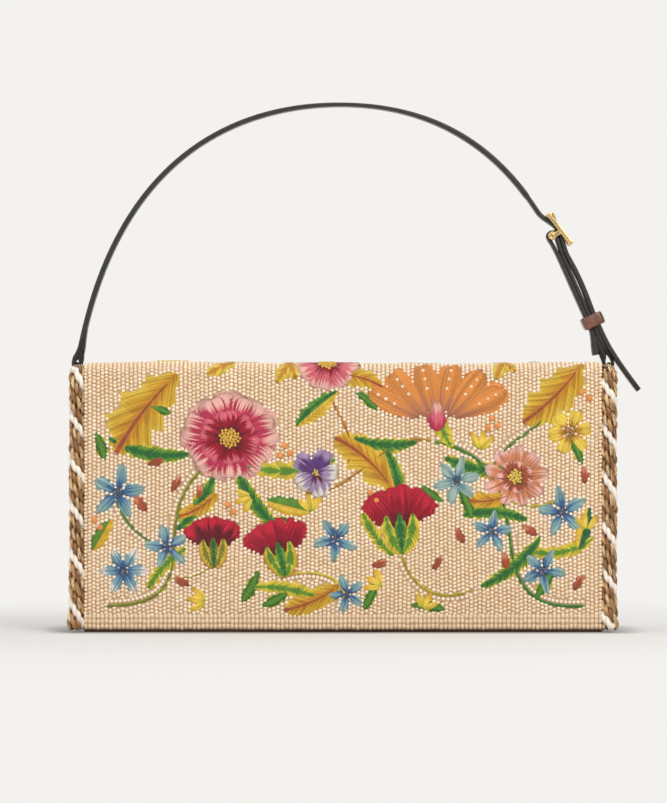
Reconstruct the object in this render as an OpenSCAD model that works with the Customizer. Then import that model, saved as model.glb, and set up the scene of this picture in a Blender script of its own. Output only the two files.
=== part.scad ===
// Shoulder bag with a full cloth flap, twisted rope trim and a buckled leather strap.
// X runs across the bag, Y from its front to its back and Z up. The origin is the middle of
// the body's footprint, on the surface that the bag stands on.

/* [Body] */
// Height of the closed bag
bag_h = 138; // [110:1:190]
// Width of the body over its side gussets
body_w = 266; // [200:1:340]
// Depth of the body from front wall to back panel
body_d = 50; // [44:1:80]
// Thickness of the front wall and the gussets
wall_t = 2.5; // [2:0.1:3.5]
// Thickness of the padded back panel
back_t = 4; // [3:0.5:5]
// Outside radius of the body's two front upright corners
corner_r = 4; // [4:0.5:8]
// Outside radius of the fold over the back top edge
yoke_r = 8; // [6:0.5:12]
// Depth of the fixed yoke, from the back face to the flap's hinge line
yoke_d = 17; // [16:0.5:20]
// Drop of the front and side rims below the top of the closed bag
rim_drop = 8; // [7:0.5:16]
// Thickness of the base panel
base_t = 3; // [2:0.5:5]
// Thickness of the stiff board on the base panel
board_t = 1.5; // [1:0.1:3]

/* [Lining and pocket] */
// Thickness of the body's lining
lining_t = 0.8; // [0.6:0.1:1.2]
// Width of the slip pocket
pocket_w = 120; // [60:1:180]
// Height of the slip pocket
pocket_h = 70; // [40:1:80]
// Height of the pocket's bottom above the inside floor
pocket_rise = 30; // [10:1:40]
// Thickness of the pocket's sheet and of its closed edges
pocket_t = 0.9; // [0.6:0.1:1.2]
// Room between the pocket's sheet and the lining
pocket_room = 1.6; // [1:0.1:3]

/* [Flap] */
// Inset of the flap cloth's side edges from the body's sides
flap_inset = 2; // [1:0.1:3]
// Thickness of the beaded cloth
cloth_t = 2.8; // [2:0.1:3.5]
// Thickness of the flap's lining
flap_lining_t = 1.2; // [0.8:0.1:1.6]
// Outside radius of the fold over the front top edge
fold_r = 7; // [6:0.5:10]
// Gap between the flap's bottom edge and the floor
floor_gap = 1.5; // [1:0.1:6]
// Running gap between the closed flap and the body
flap_gap = 0.4; // [0.3:0.1:1]
// Slit between two pieces at a fold line
fold_slit = 0.3; // [0.2:0.1:0.6]
// Distance of the flap lining's edges from the edges of the cloth
lining_inset = 3; // [2:0.5:8]

/* [Rope trim] */
// Radius of the twisted rope
rope_r = 4.2; // [3.4:0.1:5]
// Length of one full turn of the rope's strands
rope_lay = 24; // [16:1:40]
// Depth of the grooves between the strands
rope_groove = 1; // [0.6:0.1:1.4]
// Gap between the rope and the edge of the cloth
rope_gap = 0.3; // [0.2:0.1:0.6]
// Distance of the rope's cut end from the back fold line
rope_end = 6; // [5:0.5:10]

/* [Magnetic closure] */
// Distance between the two closures
magnet_span = 150; // [80:1:200]
// Height of the closures above the floor
magnet_z = 62; // [40:1:80]
// Radius of the closure's discs
magnet_r = 7; // [5:0.5:9]
// Thickness of the disc set into the front wall
magnet_t = 1; // [0.6:0.1:1.2]
// Radius of the disc's shank through the wall
shank_r = 1.5; // [1:0.1:2.5]
// Thickness of the washer behind the wall
washer_t = 0.6; // [0.4:0.1:0.8]

/* [Rings and tabs] */
// Radius of the strap rings to the middle of their wire
ring_r = 7.5; // [6.5:0.5:10]
// Radius of the ring's wire
wire_r = 1.2; // [1:0.1:1.5]
// Distance of the rings' middle plane from the body's sides
ring_stand = 5.5; // [5:0.5:8]
// Depth of the rings' centres below the top of the closed bag
ring_drop = 8; // [6:0.5:20]
// Distance of the rings' centres in front of the back face
ring_inset = 9; // [8.5:0.5:10]
// Running clearance between a ring's wire and the leather round it
wire_clear = 0.2; // [0.1:0.05:0.3]
// Least wall of leather round a ring's wire
loop_wall = 1; // [0.8:0.1:1.4]
// Width of the leather where it passes through a ring
neck_w = 6; // [4:0.5:7]
// Width of the tab where it lies on the gusset
tab_w = 14; // [10:0.5:15]
// Length of the tab on the gusset
tab_len = 22; // [18:1:30]
// Thickness of the tab, two layers of leather
tab_t = 3.2; // [2.4:0.1:4]
// Length of the tab's slanting neck between ring and gusset
tab_neck = 10; // [8:0.5:14]
// Radius of the rivet's domed head
rivet_head_r = 3; // [2.4:0.1:4]
// Height of the rivet's domed head
rivet_head_h = 1.1; // [0.8:0.1:1.6]
// Radius of the rivet's shank
rivet_r = 1.5; // [1:0.1:2]

/* [Strap] */
// Width of the strap
strap_w = 11; // [9:0.5:13]
// Thickness of the long strap
strap_t = 2.2; // [1.8:0.1:3]
// Thickness of the short strap, two layers of leather
short_t = 3.6; // [3:0.1:4]
// Height of the strap's highest point above the closed bag
strap_rise = 134.6; // [110:1:220]
// Sideways place of the highest point, from the middle
strap_peak_x = -1.5; // [-10:0.5:10]
// Lean of the long strap at the left ring, from upright, in degrees
foot_lean = 12.4; // [8:0.2:20]
// Lean of the short strap, from upright, in degrees
short_lean = 24; // [18:0.5:28]
// Length of the short strap between buckle bar and ring
short_len = 73; // [66:1:90]
// Length of strap over which it narrows to pass a ring
neck_len = 9; // [7:0.5:12]
// Length of strap over which the two layers of a loop run together
taper_len = 7; // [6:0.5:10]
// Gap between the strap's tail and the short strap
tail_gap = 0.3; // [0.2:0.1:0.6]
// How far the tail's free end stands off beyond the ring
tail_spread = 4; // [2:0.5:8]
// Radius of the punched holes
hole_r = 1.3; // [1:0.1:1.6]

/* [Buckle and keeper] */
// Radius of the buckle's bar
bar_r = 1.1; // [0.9:0.1:1.3]
// Clearance of leather and prong round the bar
bar_clear = 0.15; // [0.1:0.05:0.25]
// Radius of the bars at the frame's two ends
end_bar_r = 1.1; // [0.9:0.1:1.3]
// Radius of the rounded corners where the frame's side arms meet its end bars
knuckle_r = 1.4; // [1.35:0.05:1.7]
// Thickness of the frame's side arms
arm_t = 2; // [1.5:0.1:2.6]
// Clearance between the strap's edges and what surrounds them
side_clear = 0.4; // [0.3:0.1:0.6]
// Width of the prong
prong_w = 2; // [1.4:0.1:2.4]
// Thickness of the prong
prong_t = 1.5; // [1.2:0.1:1.8]
// Clearance on each side of the prong in its slots
prong_clear = 0.5; // [0.4:0.1:0.7]
// Length of the keeper along the strap
keeper_len = 6.4; // [5:0.2:8]
// Thickness of the keeper's leather
keeper_t = 1.5; // [1.2:0.1:2]
// Distance of the keeper's middle from the buckle bar
keeper_at = 49; // [44:0.5:50]
// Clearance between the keeper and the straps in it
keeper_clear = 0.3; // [0.2:0.1:0.5]

/* [Hidden] */
$fn = 48;

// Overrun of every cut beyond the surface that it opens
over = 1;
// Clearance of pins, shanks and discs in their holes
pin_clear = 0.05;

// Places of the body's walls
front_y = -body_d / 2;
back_y = body_d / 2;
side_x = body_w / 2;
rim_z = bag_h - rim_drop;
inner_x = side_x - wall_t;
inner_front_y = front_y + wall_t;
inner_back_y = back_y - back_t;
inner_r = corner_r - wall_t;
floor_z = base_t + board_t;

// Places of the flap and its two fold lines
flap_t = cloth_t + flap_lining_t;
flap_w = body_w - 2 * flap_inset;
flap_inner_y = front_y - flap_gap;
flap_outer_y = flap_inner_y - flap_t;
back_fold_y = back_y - yoke_d;
front_fold_y = flap_outer_y + fold_r;
lining_w = flap_w - 2 * lining_inset;

// Route of the rope: up the front edge, round the fold and along the top edge
rope_x = flap_w / 2 + rope_gap + rope_r;
rope_y = flap_inner_y - flap_t / 2;
rope_z = bag_h - flap_t / 2;
rope_bend_r = fold_r - flap_t / 2;
rope_step = rope_lay / 11;
rope_sides = 12;
rope_strands = 3;

// Centres of the rings and of the wire where the leather passes
ring_x = side_x + ring_stand;
ring_y = back_y - ring_inset;
ring_z = bag_h - ring_drop;
ring_top_z = ring_z + ring_r;
ring_low_z = ring_z - ring_r;
wire_sag = ring_r - sqrt(ring_r * ring_r - neck_w * neck_w / 4);
wire_hole_r = wire_r + wire_clear + wire_sag;
loop_r = wire_hole_r + loop_wall;
ring_fn = 64;

// Places of the tab on the gusset
tab_top_z = ring_low_z - tab_neck;
tab_low_z = tab_top_z - tab_len;
rivet_z = tab_low_z + tab_len / 2;

// The bar of the buckle, and the radii of what turns or lies round it
bar_x = ring_x - short_len * sin(short_lean);
bar_z = ring_top_z + short_len * cos(short_lean);
bar_hole_r = bar_r + bar_clear;
bar_loop_r = bar_hole_r + short_t / 2;
eye_r = bar_hole_r + prong_t / 2;
slot_w = prong_w + 2 * prong_clear;

// Height of the long strap's middle over the short strap: at the bar, and further down
over_bar = bar_loop_r + tail_gap + strap_t / 2;
over_short = short_t / 2 + tail_gap + strap_t / 2;
over_ring = loop_r + 2 * tail_gap + strap_t / 2;

// Stations along the short strap, counted from the bar towards the ring
enter_s = -short_t * 4.2;
settle_s = short_t * 3.3;
leave_s = short_len - 4.6 * short_t;
tail_end_s = short_len + 5.2 * short_t;

// The frame's two end bars in the buckle's own plane, as [along, out]
frame_front = [-over_bar * 2.3, over_bar * 0.66];
frame_back = [over_bar * 1.58, over_bar * 1.6];
frame_mid = (frame_front * frame_back[0] - frame_back * frame_front[0]) / (frame_back[0] - frame_front[0]);
frame_in = strap_w / 2 + side_clear;
frame_out = frame_in + arm_t;

// The opening of the keeper, as heights over the short strap's middle
keeper_low = -short_t / 2 - keeper_clear;
keeper_high = over_short + strap_t / 2 + keeper_clear;
keeper_half = strap_w / 2 + side_clear;
keeper_r = keeper_t;

// Points, directions and curves

// A point at share t of a curve that leaves a towards b and reaches d from c
function bezier_at(a, b, c, d, t) =
    pow(1 - t, 3) * a + 3 * pow(1 - t, 2) * t * b + 3 * (1 - t) * t * t * c + pow(t, 3) * d;

// The curve's points in n steps, without its first point
function bezier(a, b, c, d, n) = [for (i = [1:n]) bezier_at(a, b, c, d, i / n)];

// A point in the bag's XZ plane, given along and out from the buckle bar
function by_bar(s, out) = [
    bar_x + s * sin(short_lean) + out * cos(short_lean),
    bar_z - s * cos(short_lean) + out * sin(short_lean)
];

// Unit direction of a path at its point i
function heading(path, i) =
    let (a = path[max(i - 1, 0)], b = path[min(i + 1, len(path) - 1)]) (b - a) / norm(b - a);

// The path's point i moved sideways by off
function beside(path, i, off) =
    let (d = heading(path, i)) path[i] + off * [-d[1], d[0]];

// The left side of a strip along a path, then its right side backwards
function strip_sides(path, t) = concat(
    [for (i = [0:len(path) - 1]) beside(path, i, t / 2)],
    [for (i = [len(path) - 1:-1:0]) beside(path, i, -t / 2)]
);

// Points clockwise round a centre, from a start angle through a sweep
turn_steps = 18;
function turn(centre, r, from, sweep) =
    [for (i = [0:turn_steps]) let (a = from - sweep * i / turn_steps) centre + r * [cos(a), sin(a)]];

// A plate with rounded corners, as an outline about the origin
module rounded_outline(w, d, r) {
    square([w - 2 * r, d], center = true);
    square([w, d - 2 * r], center = true);
    for (x = [-1, 1], y = [-1, 1])
        translate([x * (w / 2 - r), y * (d / 2 - r)]) circle(r);
}

// Carries a drawing in the YZ plane across the bag by w
module across(w) {
    rotate([90, 0, 90]) linear_extrude(w, center = true) children();
}

// Carries a drawing in the XZ plane along Y by d
module along_y(d) {
    rotate([90, 0, 0]) linear_extrude(d, center = true) children();
}

// Turns and moves its children from the buckle's own axes: X along the strap, Y out of it
module at_bar() {
    translate([bar_x, ring_y, bar_z]) rotate([0, 90 - short_lean, 0]) rotate([90, 0, 0]) children();
}

// Both sides of the bag, drawn once for the right one
module both_sides() {
    for (side = [0, 1]) mirror([side, 0, 0]) children();
}

// Body

// Side outline of the back panel, its fold and the yoke that the flap hangs from
module back_outline() {
    fold_y = back_y - yoke_r;
    fold_z = bag_h - yoke_r;
    translate([inner_back_y, 0]) square([back_t, fold_z]);
    translate([back_fold_y + fold_slit / 2, bag_h - back_t])
        square([fold_y - back_fold_y - fold_slit / 2, back_t]);
    intersection() {
        translate([fold_y, fold_z]) difference() {
            circle(yoke_r);
            circle(yoke_r - back_t);
        }
        translate([fold_y, fold_z]) square(yoke_r + over);
    }
}

module back_panel() {
    color("#8a6f52") across(body_w) back_outline();
}

module front_panel() {
    panel_w = body_w - 2 * corner_r;
    color("#8a6f52") difference() {
        translate([-panel_w / 2, front_y, 0]) cube([panel_w, wall_t, rim_z]);
        for (side = [-1, 1]) translate([side * magnet_span / 2, front_y, magnet_z]) rotate([-90, 0, 0]) {
            translate([0, 0, -over]) cylinder(h = magnet_t + pin_clear + over, r = magnet_r + pin_clear);
            translate([0, 0, -over]) cylinder(h = wall_t + 2 * over, r = shank_r + pin_clear);
            translate([0, 0, wall_t - washer_t]) cylinder(h = washer_t + over, r = magnet_r + pin_clear);
        }
    }
}

// Plan outline of the right gusset, with the rounded upright corner that meets the front wall
module gusset_outline() {
    corner_x = side_x - corner_r;
    corner_y = front_y + corner_r;
    translate([inner_x, corner_y]) square([wall_t, inner_back_y - corner_y]);
    intersection() {
        translate([corner_x, corner_y]) difference() {
            circle(corner_r);
            circle(inner_r);
        }
        translate([corner_x, front_y - over]) square([corner_r + over, corner_r + over]);
    }
}

module gusset() {
    fold_y = back_y - yoke_r;
    under_yoke_z = bag_h - back_t;
    difference() {
        linear_extrude(under_yoke_z) gusset_outline();
        translate([inner_x - over, front_y - over, rim_z])
            cube([wall_t + 2 * over, back_fold_y + fold_slit - front_y + over, rim_drop]);
        if (yoke_r > back_t)
            translate([inner_x - over, fold_y, bag_h - yoke_r]) difference() {
                cube([wall_t + 2 * over, yoke_r, yoke_r]);
                translate([-over, 0, 0]) rotate([0, 90, 0])
                    cylinder(h = wall_t + 4 * over, r = yoke_r - back_t);
            }
        translate([inner_x - over, ring_y, rivet_z]) rotate([0, 90, 0]) {
            cylinder(h = wall_t + 2 * over, r = rivet_r + pin_clear);
            cylinder(h = rivet_head_h / 2 + pin_clear + over, r = rivet_head_r + pin_clear);
        }
    }
}

module gusset_left() {
    color("#7d6349") mirror([1, 0, 0]) gusset();
}

module gusset_right() {
    color("#7d6349") gusset();
}

// A flat plate that fills the body between its walls
module body_floor(inset, t) {
    w = 2 * (inner_x - inset);
    d = inner_back_y - inner_front_y - 2 * inset;
    translate([0, (inner_back_y + inner_front_y) / 2, 0]) linear_extrude(t)
        rounded_outline(w, d, max(inner_r - inset, inner_r / 4));
}

module base_panel() {
    color("#3a2a20") body_floor(0, base_t);
}

module base_board() {
    color("#b79a72") translate([0, 0, base_t]) body_floor(0, board_t);
}

module lining() {
    color("#c9a57c") difference() {
        translate([0, 0, floor_z]) body_floor(0, rim_z - floor_z - lining_t);
        translate([0, 0, floor_z + lining_t]) body_floor(lining_t, rim_z);
    }
}

module inner_pocket() {
    depth = pocket_room + pocket_t;
    color("#b98f63") translate([-pocket_w / 2, inner_back_y - lining_t - depth, floor_z + pocket_rise])
        difference() {
            cube([pocket_w, depth, pocket_h]);
            translate([pocket_t, pocket_t, pocket_t]) cube([pocket_w - 2 * pocket_t, depth, pocket_h]);
        }
}

module body_magnets() {
    color("#b8a070") for (side = [-1, 1])
        translate([side * magnet_span / 2, front_y, magnet_z]) rotate([-90, 0, 0]) {
            cylinder(h = magnet_t, r = magnet_r);
            cylinder(h = wall_t, r = shank_r);
        }
}

module magnet_washers() {
    color("#9a9a9a") for (side = [-1, 1])
        translate([side * magnet_span / 2, inner_front_y - washer_t, magnet_z]) rotate([-90, 0, 0])
            difference() {
                cylinder(h = washer_t, r = magnet_r);
                translate([0, 0, -over]) cylinder(h = washer_t + 2 * over, r = shank_r + pin_clear);
            }
}

// Rings and their tabs

// The round space that a ring's wire needs, or the ring itself
module wire_ring(r) {
    rotate([0, 90, 0]) rotate_extrude($fn = ring_fn) translate([ring_r, 0]) circle(r);
}

module ring_left() {
    color("#d9b45a") translate([-ring_x, ring_y, ring_z]) wire_ring(wire_r);
}

module ring_right() {
    color("#d9b45a") translate([ring_x, ring_y, ring_z]) wire_ring(wire_r);
}

// Outline of the tab seen from the front: the loop, the slanting neck and the flat on the gusset
module tab_outline() {
    translate([ring_x, ring_low_z]) circle(loop_r);
    polygon([
        [ring_x - loop_r, ring_low_z], [side_x, tab_top_z],
        [side_x + tab_t, tab_top_z], [ring_x + loop_r, ring_low_z]
    ]);
    translate([side_x, tab_low_z]) square([tab_t, tab_len]);
}

// Outline of the tab seen from the side, about the ring's middle plane
module tab_face() {
    full_z = tab_top_z - tab_neck / 4;
    top_z = ring_low_z + loop_r + over;
    translate([-tab_w / 2, tab_low_z + tab_w / 2]) square([tab_w, full_z - tab_low_z - tab_w / 2]);
    translate([0, tab_low_z + tab_w / 2]) circle(tab_w / 2);
    polygon([
        [-tab_w / 2, full_z], [tab_w / 2, full_z], [neck_w / 2, ring_low_z - loop_r],
        [neck_w / 2, top_z], [-neck_w / 2, top_z], [-neck_w / 2, ring_low_z - loop_r]
    ]);
}

module ring_tab() {
    difference() {
        intersection() {
            translate([0, ring_y, 0]) along_y(tab_w + over) tab_outline();
            translate([side_x + ring_stand, ring_y, 0]) across(4 * ring_stand) tab_face();
        }
        translate([ring_x, ring_y, ring_low_z]) along_y(tab_w) circle(wire_hole_r);
        translate([side_x - over, ring_y, rivet_z]) rotate([0, 90, 0])
            cylinder(h = tab_t + 2 * over, r = rivet_r + pin_clear);
    }
}

module ring_tab_left() {
    color("#2b2725") mirror([1, 0, 0]) ring_tab();
}

module ring_tab_right() {
    color("#2b2725") ring_tab();
}

// A rivet from its inner cap, through gusset and tab, to its domed head
module tab_rivet() {
    inner_cap_h = rivet_head_h / 2;
    head_sphere_r = (rivet_head_r * rivet_head_r + rivet_head_h * rivet_head_h) / (2 * rivet_head_h);
    translate([inner_x, ring_y, rivet_z]) rotate([0, 90, 0]) {
        cylinder(h = inner_cap_h, r = rivet_head_r);
        cylinder(h = wall_t + tab_t + rivet_head_h / 2, r = rivet_r);
        translate([0, 0, wall_t + tab_t]) intersection() {
            translate([0, 0, rivet_head_h - head_sphere_r]) sphere(head_sphere_r);
            cylinder(h = rivet_head_h + over, r = rivet_head_r + over);
        }
    }
}

module tab_rivets() {
    color("#d9b45a") both_sides() tab_rivet();
}

// Flap

// Side outline of one layer of the flap's front part, from out to in below its outer face
module flap_front_outline(out, in, low_z) {
    fold_z = bag_h - fold_r;
    translate([flap_outer_y + out, low_z]) square([in - out, fold_z - low_z]);
    intersection() {
        translate([front_fold_y, fold_z]) difference() {
            circle(fold_r - out);
            circle(fold_r - in);
        }
        translate([flap_outer_y - over, fold_z]) square([fold_r + over - fold_slit / 2, fold_r + over]);
    }
}

module flap_front_panel() {
    color("#eac7a0") across(flap_w) {
        flap_front_outline(0, cloth_t, floor_gap + cloth_t / 2);
        translate([flap_outer_y + cloth_t / 2, floor_gap + cloth_t / 2]) circle(cloth_t / 2);
    }
}

module flap_front_lining() {
    color("#a5794c") difference() {
        across(lining_w) flap_front_outline(cloth_t, flap_t, floor_gap + lining_inset);
        for (side = [-1, 1]) translate([side * magnet_span / 2, flap_inner_y + over, magnet_z])
            rotate([90, 0, 0]) cylinder(h = flap_lining_t + 2 * over, r = magnet_r + pin_clear);
    }
}

module flap_magnets() {
    color("#b8a070") for (side = [-1, 1])
        translate([side * magnet_span / 2, flap_inner_y, magnet_z])
            rotate([90, 0, 0]) cylinder(h = flap_lining_t, r = magnet_r);
}

// A layer of the flap's top part, from out to in below its upper face
module flap_top_layer(w, out, in) {
    y0 = front_fold_y + fold_slit / 2;
    y1 = back_fold_y - fold_slit / 2;
    translate([-w / 2, y0, bag_h - in]) cube([w, y1 - y0, in - out]);
}

module flap_top_panel() {
    color("#eac7a0") flap_top_layer(flap_w, 0, cloth_t);
}

module flap_top_lining() {
    color("#a5794c") flap_top_layer(lining_w, cloth_t, flap_t);
}

// Rope trim

// Radius of the rope's outline at an angle round it: one lobe for each strand
function rope_radius(turn) = rope_r - rope_groove * (1 - abs(cos(rope_strands / 2 * turn)));

// One ring of points round the rope at [y, z], where the rope runs up at 0 and back at 90
function rope_ring(y, z, run, twist) = [
    for (k = [0:rope_sides - 1])
        let (turn = k * 360 / rope_sides, r = rope_radius(turn), aside = r * sin(turn + twist))
            [r * cos(turn + twist), y + aside * cos(run), z - aside * sin(run)]
];

// Faces that join rings of points into one closed tube
function tube_faces(count, sides) = concat(
    [[for (k = [0:sides - 1]) k]],
    [for (i = [0:count - 2], k = [0:sides - 1]) let (j = (k + 1) % sides)
        [i * sides + k, (i + 1) * sides + k, (i + 1) * sides + j]],
    [for (i = [0:count - 2], k = [0:sides - 1]) let (j = (k + 1) % sides)
        [i * sides + k, (i + 1) * sides + j, i * sides + j]],
    [[for (k = [sides - 1:-1:0]) (count - 1) * sides + k]]
);

// A rope whose route gives, for each ring, [y, z, run, length so far]
module rope(route) {
    rings = [for (p = route) rope_ring(p[0], p[1], p[2], -360 * p[3] / rope_lay)];
    polyhedron(points = [for (ring = rings) each ring], faces = tube_faces(len(route), rope_sides));
}

// Lengths of the three stretches of the rope's route
rope_up_len = bag_h - fold_r - floor_gap;
rope_bend_len = rope_bend_r * PI / 2;
rope_back_len = back_fold_y - rope_end - front_fold_y;
up_steps = ceil(rope_up_len / rope_step);
bend_steps = 5;
back_steps = ceil(rope_back_len / rope_step);
bend_slit = fold_slit / 2 / rope_bend_r * 180 / PI;

up_route = [for (i = [0:up_steps]) let (d = rope_up_len * i / up_steps) [rope_y, floor_gap + d, 0, d]];
bend_route = [for (i = [1:bend_steps]) let (a = (90 - bend_slit) * i / bend_steps) [
    front_fold_y - rope_bend_r * cos(a), bag_h - fold_r + rope_bend_r * sin(a), a,
    rope_up_len + rope_bend_len * a / 90
]];
back_route = [for (i = [0:back_steps])
    let (d = fold_slit / 2 + (rope_back_len - fold_slit / 2) * i / back_steps)
        [front_fold_y + d, rope_z, 90, rope_up_len + rope_bend_len + d]
];

module rope_front_left() {
    color("#97745a") translate([-rope_x, 0, 0]) rope(concat(up_route, bend_route));
}

module rope_front_right() {
    color("#97745a") translate([rope_x, 0, 0]) rope(concat(up_route, bend_route));
}

module rope_top_left() {
    color("#97745a") translate([-rope_x, 0, 0]) rope(back_route);
}

module rope_top_right() {
    color("#97745a") translate([rope_x, 0, 0]) rope(back_route);
}

// Strap

// The long strap's arch, from the left ring over its highest point to the buckle
foot = [-ring_x, ring_top_z];
foot_dir = [sin(foot_lean), cos(foot_lean)];
arch_start = foot + 2 * taper_len * foot_dir;
peak = [strap_peak_x, bag_h + strap_rise];
enter = by_bar(enter_s, -over_bar * 0.4);
enter_lean = 1.375 * short_lean;
enter_dir = [-sin(enter_lean), cos(enter_lean)];
left_pull_share = 0.81;
left_peak_share = 0.36;
right_peak_share = 0.4;
right_pull_share = 0.24;
left_rise = peak[1] - arch_start[1];
arch_route = concat(
    [arch_start],
    bezier(
        arch_start, arch_start + left_pull_share * left_rise / foot_dir[1] * foot_dir,
        peak - [left_peak_share * ring_x, 0], peak, 26
    ),
    bezier(
        peak, peak + [right_peak_share * ring_x, 0],
        enter + right_pull_share * strap_rise * enter_dir, enter, 22
    )
);

// The rest of the long strap: under the frame's front end, over the bar and down the short strap
buckle_route = bezier(
    enter, by_bar(enter_s * 0.57, -over_bar * 0.21), by_bar(enter_s * 0.43, over_bar), by_bar(0, over_bar), 14
);
settle_route = bezier(
    by_bar(0, over_bar), by_bar(settle_s / 3, over_bar), by_bar(settle_s * 0.6, over_short),
    by_bar(settle_s, over_short), 8
);
tail_route = bezier(
    by_bar(leave_s, over_short), by_bar(leave_s + 2.5 * short_t, over_short),
    by_bar(short_len + short_t / 2, over_ring), by_bar(tail_end_s, over_ring + tail_spread), 10
);
long_route = concat(arch_route, buckle_route, settle_route, [by_bar(leave_s, over_short)], tail_route);

// The drop-shaped space inside such a loop
module loop_space(r) {
    circle(r);
    polygon([[0, r * 0.9], [taper_len, 0], [0, -r * 0.9]]);
}

// Takes the sides off a strap where it passes a ring, with the ring's wire at the origin and
// the strap along +X
module neck_cut() {
    reach = strap_w;
    shoulder = neck_w / 2 + (strap_w - neck_w) / 2 + over;
    for (side = [0, 1]) mirror([0, 0, side]) rotate([90, 0, 0]) linear_extrude(4 * loop_r, center = true)
        polygon([
            [-reach, neck_w / 2], [loop_r, neck_w / 2], [loop_r + neck_len, shoulder],
            [loop_r + neck_len, strap_w], [-reach, strap_w]
        ]);
}

module strap_long() {
    holes_share = [0.3, 0.52, 0.8];
    color("#3b3634") difference() {
        translate([0, ring_y, 0]) along_y(strap_w) difference() {
            polygon(concat(strip_sides(long_route, strap_t), turn(foot, loop_r, -foot_lean, 180)));
            translate(foot) rotate(90 - foot_lean) loop_space(wire_hole_r);
        }
        translate([foot[0], ring_y, foot[1]]) rotate([0, foot_lean - 90, 0]) rotate([90, 0, 0]) neck_cut();
        at_bar() {
            translate([-over_bar * 1.8, 0, 0]) prong_slot(over_bar * 2.2, 4 * over_bar);
            for (share = holes_share) translate([short_len * share, over_short, 0]) rotate([90, 0, 0])
                cylinder(h = strap_t + 2 * over, r = hole_r, center = true);
        }
    }
}

// A slot for the prong, from the origin along the strap, right through a height h about it
module prong_slot(length, h) {
    translate([0, -h / 2, -slot_w / 2]) cube([length, h, slot_w]);
}

module strap_short() {
    color("#3b3634") at_bar() difference() {
        linear_extrude(strap_w, center = true) difference() {
            polygon(concat(
                [[1.5 * taper_len, short_t / 2], [short_len - 1.5 * taper_len, short_t / 2]],
                turn([short_len, 0], loop_r, 90, 180),
                [[short_len - 1.5 * taper_len, -short_t / 2], [1.5 * taper_len, -short_t / 2]],
                turn([0, 0], bar_loop_r, -90, 180)
            ));
            loop_space(bar_hole_r);
            translate([short_len, 0]) mirror([1, 0]) loop_space(wire_hole_r);
        }
        translate([-2 * bar_loop_r, 0, 0]) prong_slot(2 * bar_loop_r + eye_r + prong_clear, 4 * bar_loop_r);
        translate([short_len, 0, 0]) mirror([1, 0, 0]) neck_cut();
    }
}

// Buckle, prong and keeper, drawn in the buckle's own axes

module frame_arm() {
    linear_extrude(arm_t) difference() {
        union() {
            polygon(strip_sides([frame_front, frame_mid, frame_back], 2 * end_bar_r));
            translate(frame_front) circle(knuckle_r);
            translate(frame_back) circle(knuckle_r);
            polygon(strip_sides([frame_mid, [0, 0]], 2 * end_bar_r));
            circle(bar_r + arm_t / 2);
        }
        circle(bar_r + pin_clear);
    }
}

module buckle_frame() {
    color("#d9b45a") at_bar() {
        for (side = [0, 1]) mirror([0, 0, side]) translate([0, 0, frame_in]) frame_arm();
        for (end = [frame_front, frame_back])
            translate(end) cylinder(h = 2 * frame_in + arm_t, r = end_bar_r, center = true);
    }
}

module buckle_bar() {
    color("#d9b45a") at_bar() cylinder(h = 2 * frame_out, r = bar_r, center = true);
}

module buckle_prong() {
    rest = frame_front[1] + end_bar_r + prong_t / 2 + 2 * pin_clear;
    tip_s = frame_front[0] - end_bar_r;
    out_angle = 130;
    eye_gap = 1.5 * asin(prong_t / 2 / eye_r);
    root = eye_r * [cos(out_angle), sin(out_angle)];
    route = concat([root], bezier(root, 1.5 * root, [tip_s * 0.45, rest * 1.25], [tip_s, rest], 12));
    color("#d9b45a") at_bar() linear_extrude(prong_w, center = true) difference() {
        polygon(concat(
            strip_sides(route, prong_t), turn([0, 0], eye_r, out_angle - eye_gap, 360 - 2 * eye_gap)
        ));
        circle(bar_r + pin_clear);
    }
}

module keeper_loop() {
    mid = (keeper_low + keeper_high) / 2;
    inner = [keeper_high - keeper_low, 2 * keeper_half];
    color("#6b4226") at_bar() translate([keeper_at, mid, 0]) rotate([0, 90, 0]) rotate([0, 0, 90])
        linear_extrude(keeper_len, center = true) difference() {
            rounded_outline(inner[0] + 2 * keeper_t, inner[1] + 2 * keeper_t, keeper_r);
            square(inner, center = true);
        }
}

back_panel();
front_panel();
gusset_left();
gusset_right();
base_panel();
base_board();
lining();
inner_pocket();
body_magnets();
magnet_washers();
ring_tab_left();
ring_tab_right();
tab_rivets();
flap_top_panel();
flap_top_lining();
rope_top_left();
rope_top_right();
flap_front_panel();
flap_front_lining();
flap_magnets();
rope_front_left();
rope_front_right();
strap_long();
strap_short();
buckle_frame();
buckle_bar();
ring_left();
ring_right();
keeper_loop();
buckle_prong();
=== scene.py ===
# %% [markdown]
# # A beaded shoulder bag with an embroidered flap
# This lesson dresses a plain CAD model of a shoulder bag. The real bag is closed by a long flap of beaded
# cloth with thread embroidery, edged with thick twisted rope, and it hangs from a narrow leather strap with
# a small gold buckle. Nearly every piece here is a surface worked out with numpy: a function of two
# parameters on a grid, or a profile carried along a path. All sizes are in millimetres until they go into
# a mesh, which is in metres.

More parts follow.
